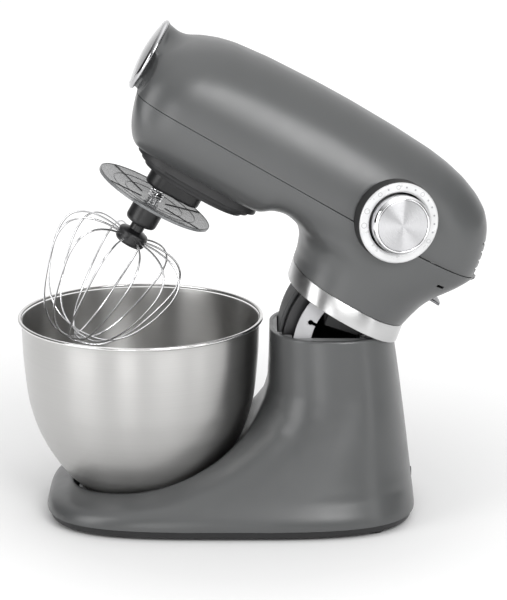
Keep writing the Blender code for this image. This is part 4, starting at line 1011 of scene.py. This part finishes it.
# ---------------------------------------------------------------- knob
def knob_pieces():
    place = knob_matrix()

    def turned(name, profile, mat, body, nodes, slot, segs=128, soft=0.5):
        piece = mesh_object(name, *revolve(rounded(profile, soft, 4), segs), mat, matrix=place)
        if nodes:
            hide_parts(*nodes)
        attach(piece, body)
        return piece

    turned("dial_bezel", [(28.3, -9.0), (30.0, -17.0), (BEZEL_R - 0.5, -17.0), (BEZEL_R - 0.5, -2.4),
                          (BEZEL_R, -2.2), (BEZEL_R, -1.2), (BEZEL_R - 1.3, 0.0), (30.2, 0.0),
                          (28.3, -1.6)], SILVER, "head", ["knob_bezel"], "silver_plastic")
    turned("dial_gasket", [(BEZEL_R - 0.5, -17.0), (BEZEL_R + 0.4, -17.0), (BEZEL_R + 0.4, -2.6),
                           (BEZEL_R - 0.5, -2.5)], GASKET, "head", [], "matt_black_plastic")
    turned("dial_grip", [(4.3, -6.0), (26.6, -6.0), (27.0, -5.0), (27.0, 7.4), (25.4, 9.8),
                         (24.4, 10.4), (23.7, 10.3), (23.5, 8.4), (4.3, 8.4)], CHROME, "knob",
           ["knob_skirt"], "chrome", 144, 0.8)
    turned("dial_face", [(0, 8.8), (4.0, 8.8), (23.4, 8.8), (23.4, 10.0), (23.0, 10.3), (0, 10.7)],
           SPUN, "knob", ["knob_face"], "spun_aluminium", 144, 0.2)
    shapes = []
    for angle, kind in DIAL_MARKS:
        a = math.radians(angle)
        at = (MARK_R * math.cos(a), MARK_R * math.sin(a), 0)
        size = MARK_SIZES[kind]
        if kind == "dot":
            shapes.append(revolve([(0, -0.1), (size, -0.1), (size, 0.06), (0, 0.06)], 20, at))
        else:
            inner = size - 0.4
            shapes.append(revolve([(inner, -0.1), (size, -0.1), (size, 0.06), (inner, 0.06)], 24, at))
    verts, faces = merged(shapes)
    marks = mesh_object("dial_marks", verts, faces, DIAL_GREY, matrix=place)
    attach(marks, "head")


# ---------------------------------------------------------------- lever, cap
def lever_piece():
    """Curved blade behind the neck that frees the head."""
    line = smooth_line([(118.0, 226.6), (127.0, 226.6), (138.0, 227.2), (146.0, 227.0),
                        (150.4, 226.0)], 30)
    rings = []
    for i, (x, z) in enumerate(line):
        t = i / (len(line) - 1)
        half = 14.0 * (1 - max(0.0, (t - 0.72) / 0.28) ** 2.6) ** 0.5 if t < 0.999 else 1.2
        thick = 2.0 * (1.0 - 0.35 * t)
        if i in (0, len(line) - 1):
            half, thick = half * 0.8, thick * 0.5
        a = 2 * np.pi * np.arange(40) / 40
        y = half * power(np.cos(a), 0.3)
        h = thick * power(np.sin(a), 0.7)
        rings.append(np.column_stack([np.full(40, x), y, z + h]))
    verts, faces = loft(rings)
    lever = mesh_object("lever_blade", raised(verts), faces, LEVER_STEEL)
    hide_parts("release_lever")
    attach(lever, "lever")


def cap_parts():
    profile = [(31.2, -199.4), (34.2, -199.4), (35.4, -200.2), (35.6, -201.2), (35.0, -202.6),
               (33.0, -204.2), (31.2, -204.7)]
    verts, faces = revolve(rounded(profile, 0.6, 4), 128, (0, 0, CAP_Z), "x")
    rim = mesh_object("cap_rim", raised(verts), faces, CAP_CHROME)
    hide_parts("front_cap_rim")
    dome = [(r, -208.4 + 3.8 * (r / 30.9) ** 2) for r in np.linspace(0, 30.9, 14)]
    profile = dome + [(30.9, -199.5), (23.6, -199.5), (23.6, -190.0), (22.0, -190.0),
                      (22.0, -200.6), (0, -200.6)]
    verts, faces = revolve(profile, 128, (0, 0, CAP_Z), "x")
    face = mesh_object("cap_lens", raised(verts), faces, CAP_CHROME)
    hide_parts("front_cap_face")
    for piece in (rim, face):
        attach(piece, "cap")


# ---------------------------------------------------------------- carried-over nodes
NODE_FINISH = (
    (RUBBER, ("foot_front_near", "foot_front_far", "foot_rear_near", "foot_rear_far")),
    (CAST, ("bowl_seat", "hinge_bracket", "head_frame", "gearbox_plate", "front_hub")),
    (GEAR_STEEL, ("hinge_pin", "tilt_spring", "motor_pulley", "lay_pinion", "planet_gear",
                  "lever_pin", "latch_hook", "hub_socket", "knob_shaft")),
    (RIM_STEEL, ("bowl_foot",)),
    (NYLON, ("lay_pulley", "ring_gear", "spindle_gear")),
    (IRON, ("motor_stator",)),
    (COPPER, ("motor_rotor",)),
    (BLACK_MATT, ("motor_fan", "speed_switch")),
    (BELT, ("drive_belt",)),
)


def finish_nodes():
    for mat, names in NODE_FINISH:
        for name in names:
            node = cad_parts[name]
            for place in node.material_slots:
                place.material = mat
            if not node.material_slots:
                node.data.materials.append(mat)


# ---------------------------------------------------------------- studio
FOCAL_PX, FRAME_HEIGHT_PX, SENSOR_MM = 2556.0, 600.0, 36.0
CAMERA_PITCH = math.radians(15.3)
CAMERA_DISTANCE = 2.4
CAMERA_TARGET = (0.001, 0.0, 0.2005)
# name, place, aimed at, width, watts, height; metres
SOFTBOXES = (
    ("key_softbox", (0.72, -1.53, 1.11), (0.0, 0.0, 0.3), 0.85, 19.0, None),
    ("left_softbox", (-1.25, -0.85, 0.7), (-0.1, 0.0, 0.25), 0.75, 9.5, 1.1),
    ("right_softbox", (1.45, -0.95, 0.7), (0.0, 0.0, 0.2), 0.28, 2.8, 1.2),
    ("front_softbox", (-0.45, -1.9, 0.3), (-0.1, 0.0, 0.3), 0.55, 4.2, 0.7),
)
# axis, direction from and to, brightness from and to
WORLD_RAMPS = (
    (1, 0.3, 0.95, 0.18, 1.05),
    (2, 0.4, 0.95, 0.0, 1.3),
    (0, -0.9, -0.2, 0.2, 1.0),
)


def camera():
    data = bpy.data.cameras.new("camera")
    data.sensor_width = SENSOR_MM
    data.lens = FOCAL_PX * SENSOR_MM / FRAME_HEIGHT_PX
    data.clip_end = 50.0
    obj = bpy.data.objects.new("camera", data)
    bpy.context.scene.collection.objects.link(obj)
    forward = Vector((0.0, math.cos(CAMERA_PITCH), -math.sin(CAMERA_PITCH)))
    obj.location = Vector(CAMERA_TARGET) - CAMERA_DISTANCE * forward
    obj.rotation_euler = (math.pi / 2 - CAMERA_PITCH, 0.0, 0.0)
    bpy.context.scene.camera = obj


def softbox(name, at, aim, size, power_w, tall):
    data = bpy.data.lights.new(name, "AREA")
    data.energy = power_w
    data.size = size
    if tall:
        data.shape = "RECTANGLE"
        data.size_y = tall
    obj = bpy.data.objects.new(name, data)
    bpy.context.scene.collection.objects.link(obj)
    obj.location = at
    obj.rotation_mode = "QUATERNION"
    obj.rotation_quaternion = (Vector(aim) - Vector(at)).to_track_quat("-Z", "Y")


def studio():
    world = bpy.data.worlds.new("studio")
    bpy.context.scene.world = world
    world.use_nodes = True
    tree = world.node_tree
    back = tree.nodes["Background"]
    where = tree.nodes.new("ShaderNodeTexCoord")
    apart = tree.nodes.new("ShaderNodeSeparateXYZ")
    tree.links.new(where.outputs["Generated"], apart.inputs[0])
    shares = []
    for axis, low, high, lo, hi in WORLD_RAMPS:
        ramp = tree.nodes.new("ShaderNodeMapRange")
        ramp.inputs["From Min"].default_value = low
        ramp.inputs["From Max"].default_value = high
        ramp.inputs["To Min"].default_value = lo
        ramp.inputs["To Max"].default_value = hi
        tree.links.new(apart.outputs[axis], ramp.inputs["Value"])
        shares.append(ramp.outputs["Result"])
    both = tree.nodes.new("ShaderNodeMath")
    both.operation = "ADD"
    tree.links.new(shares[0], both.inputs[0])
    tree.links.new(shares[1], both.inputs[1])
    dimmed = tree.nodes.new("ShaderNodeMath")
    dimmed.operation = "MULTIPLY"
    tree.links.new(both.outputs[0], dimmed.inputs[0])
    tree.links.new(shares[2], dimmed.inputs[1])
    tree.links.new(dimmed.outputs[0], back.inputs["Strength"])
    back.inputs["Color"].default_value = (1.0, 1.0, 1.0, 1.0)
    for row in SOFTBOXES:
        softbox(*row)
    mesh = bpy.data.meshes.new("floor")
    reach = 12.0
    mesh.from_pydata([(-reach, -reach, 0), (reach, -reach, 0), (reach, reach, 0), (-reach, reach, 0)],
                     [], [(0, 1, 2, 3)])
    floor = bpy.data.objects.new("floor", mesh)
    bpy.context.scene.collection.objects.link(floor)
    f = Finish("pale_floor", (0.77, 0.77, 0.77), 0.7)
    f.vary_colour(f.noise(3.0), 0.995, 1.005)
    f.shader.inputs["Specular IOR Level"].default_value = 0.1
    f.shader.inputs["Emission Color"].default_value = (1.0, 1.0, 1.0, 1.0)
    # Painted light: the floor glows, with emission rising from none within 0.2 m of the middle to 0.36
    # beyond 0.8 m, which paints a shadow on the floor round the mixer.
    reach_out = f.node("ShaderNodeVectorMath", operation="LENGTH")
    f.link(f.where, reach_out.inputs[0])
    painted_shadow_glow = f.span(reach_out.outputs["Value"], 0.0, 0.36, 0.2, 0.8)
    f.link(painted_shadow_glow, f.shader.inputs["Emission Strength"])
    mesh.materials.append(f.mat)
    floor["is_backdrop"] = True
    bpy.context.scene.view_settings.view_transform = "Standard"


camera()
base_parts()
bowl_part()
head_shells()
collar_part()
arm_parts()
outlet_parts()
whisk_parts()
knob_pieces()
lever_piece()
cap_parts()
finish_nodes()
studio()
({"cad": CAD_BOX and [list(map(float, c)) for c in CAD_BOX],
           "visual": [list(map(float, c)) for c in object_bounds()]})
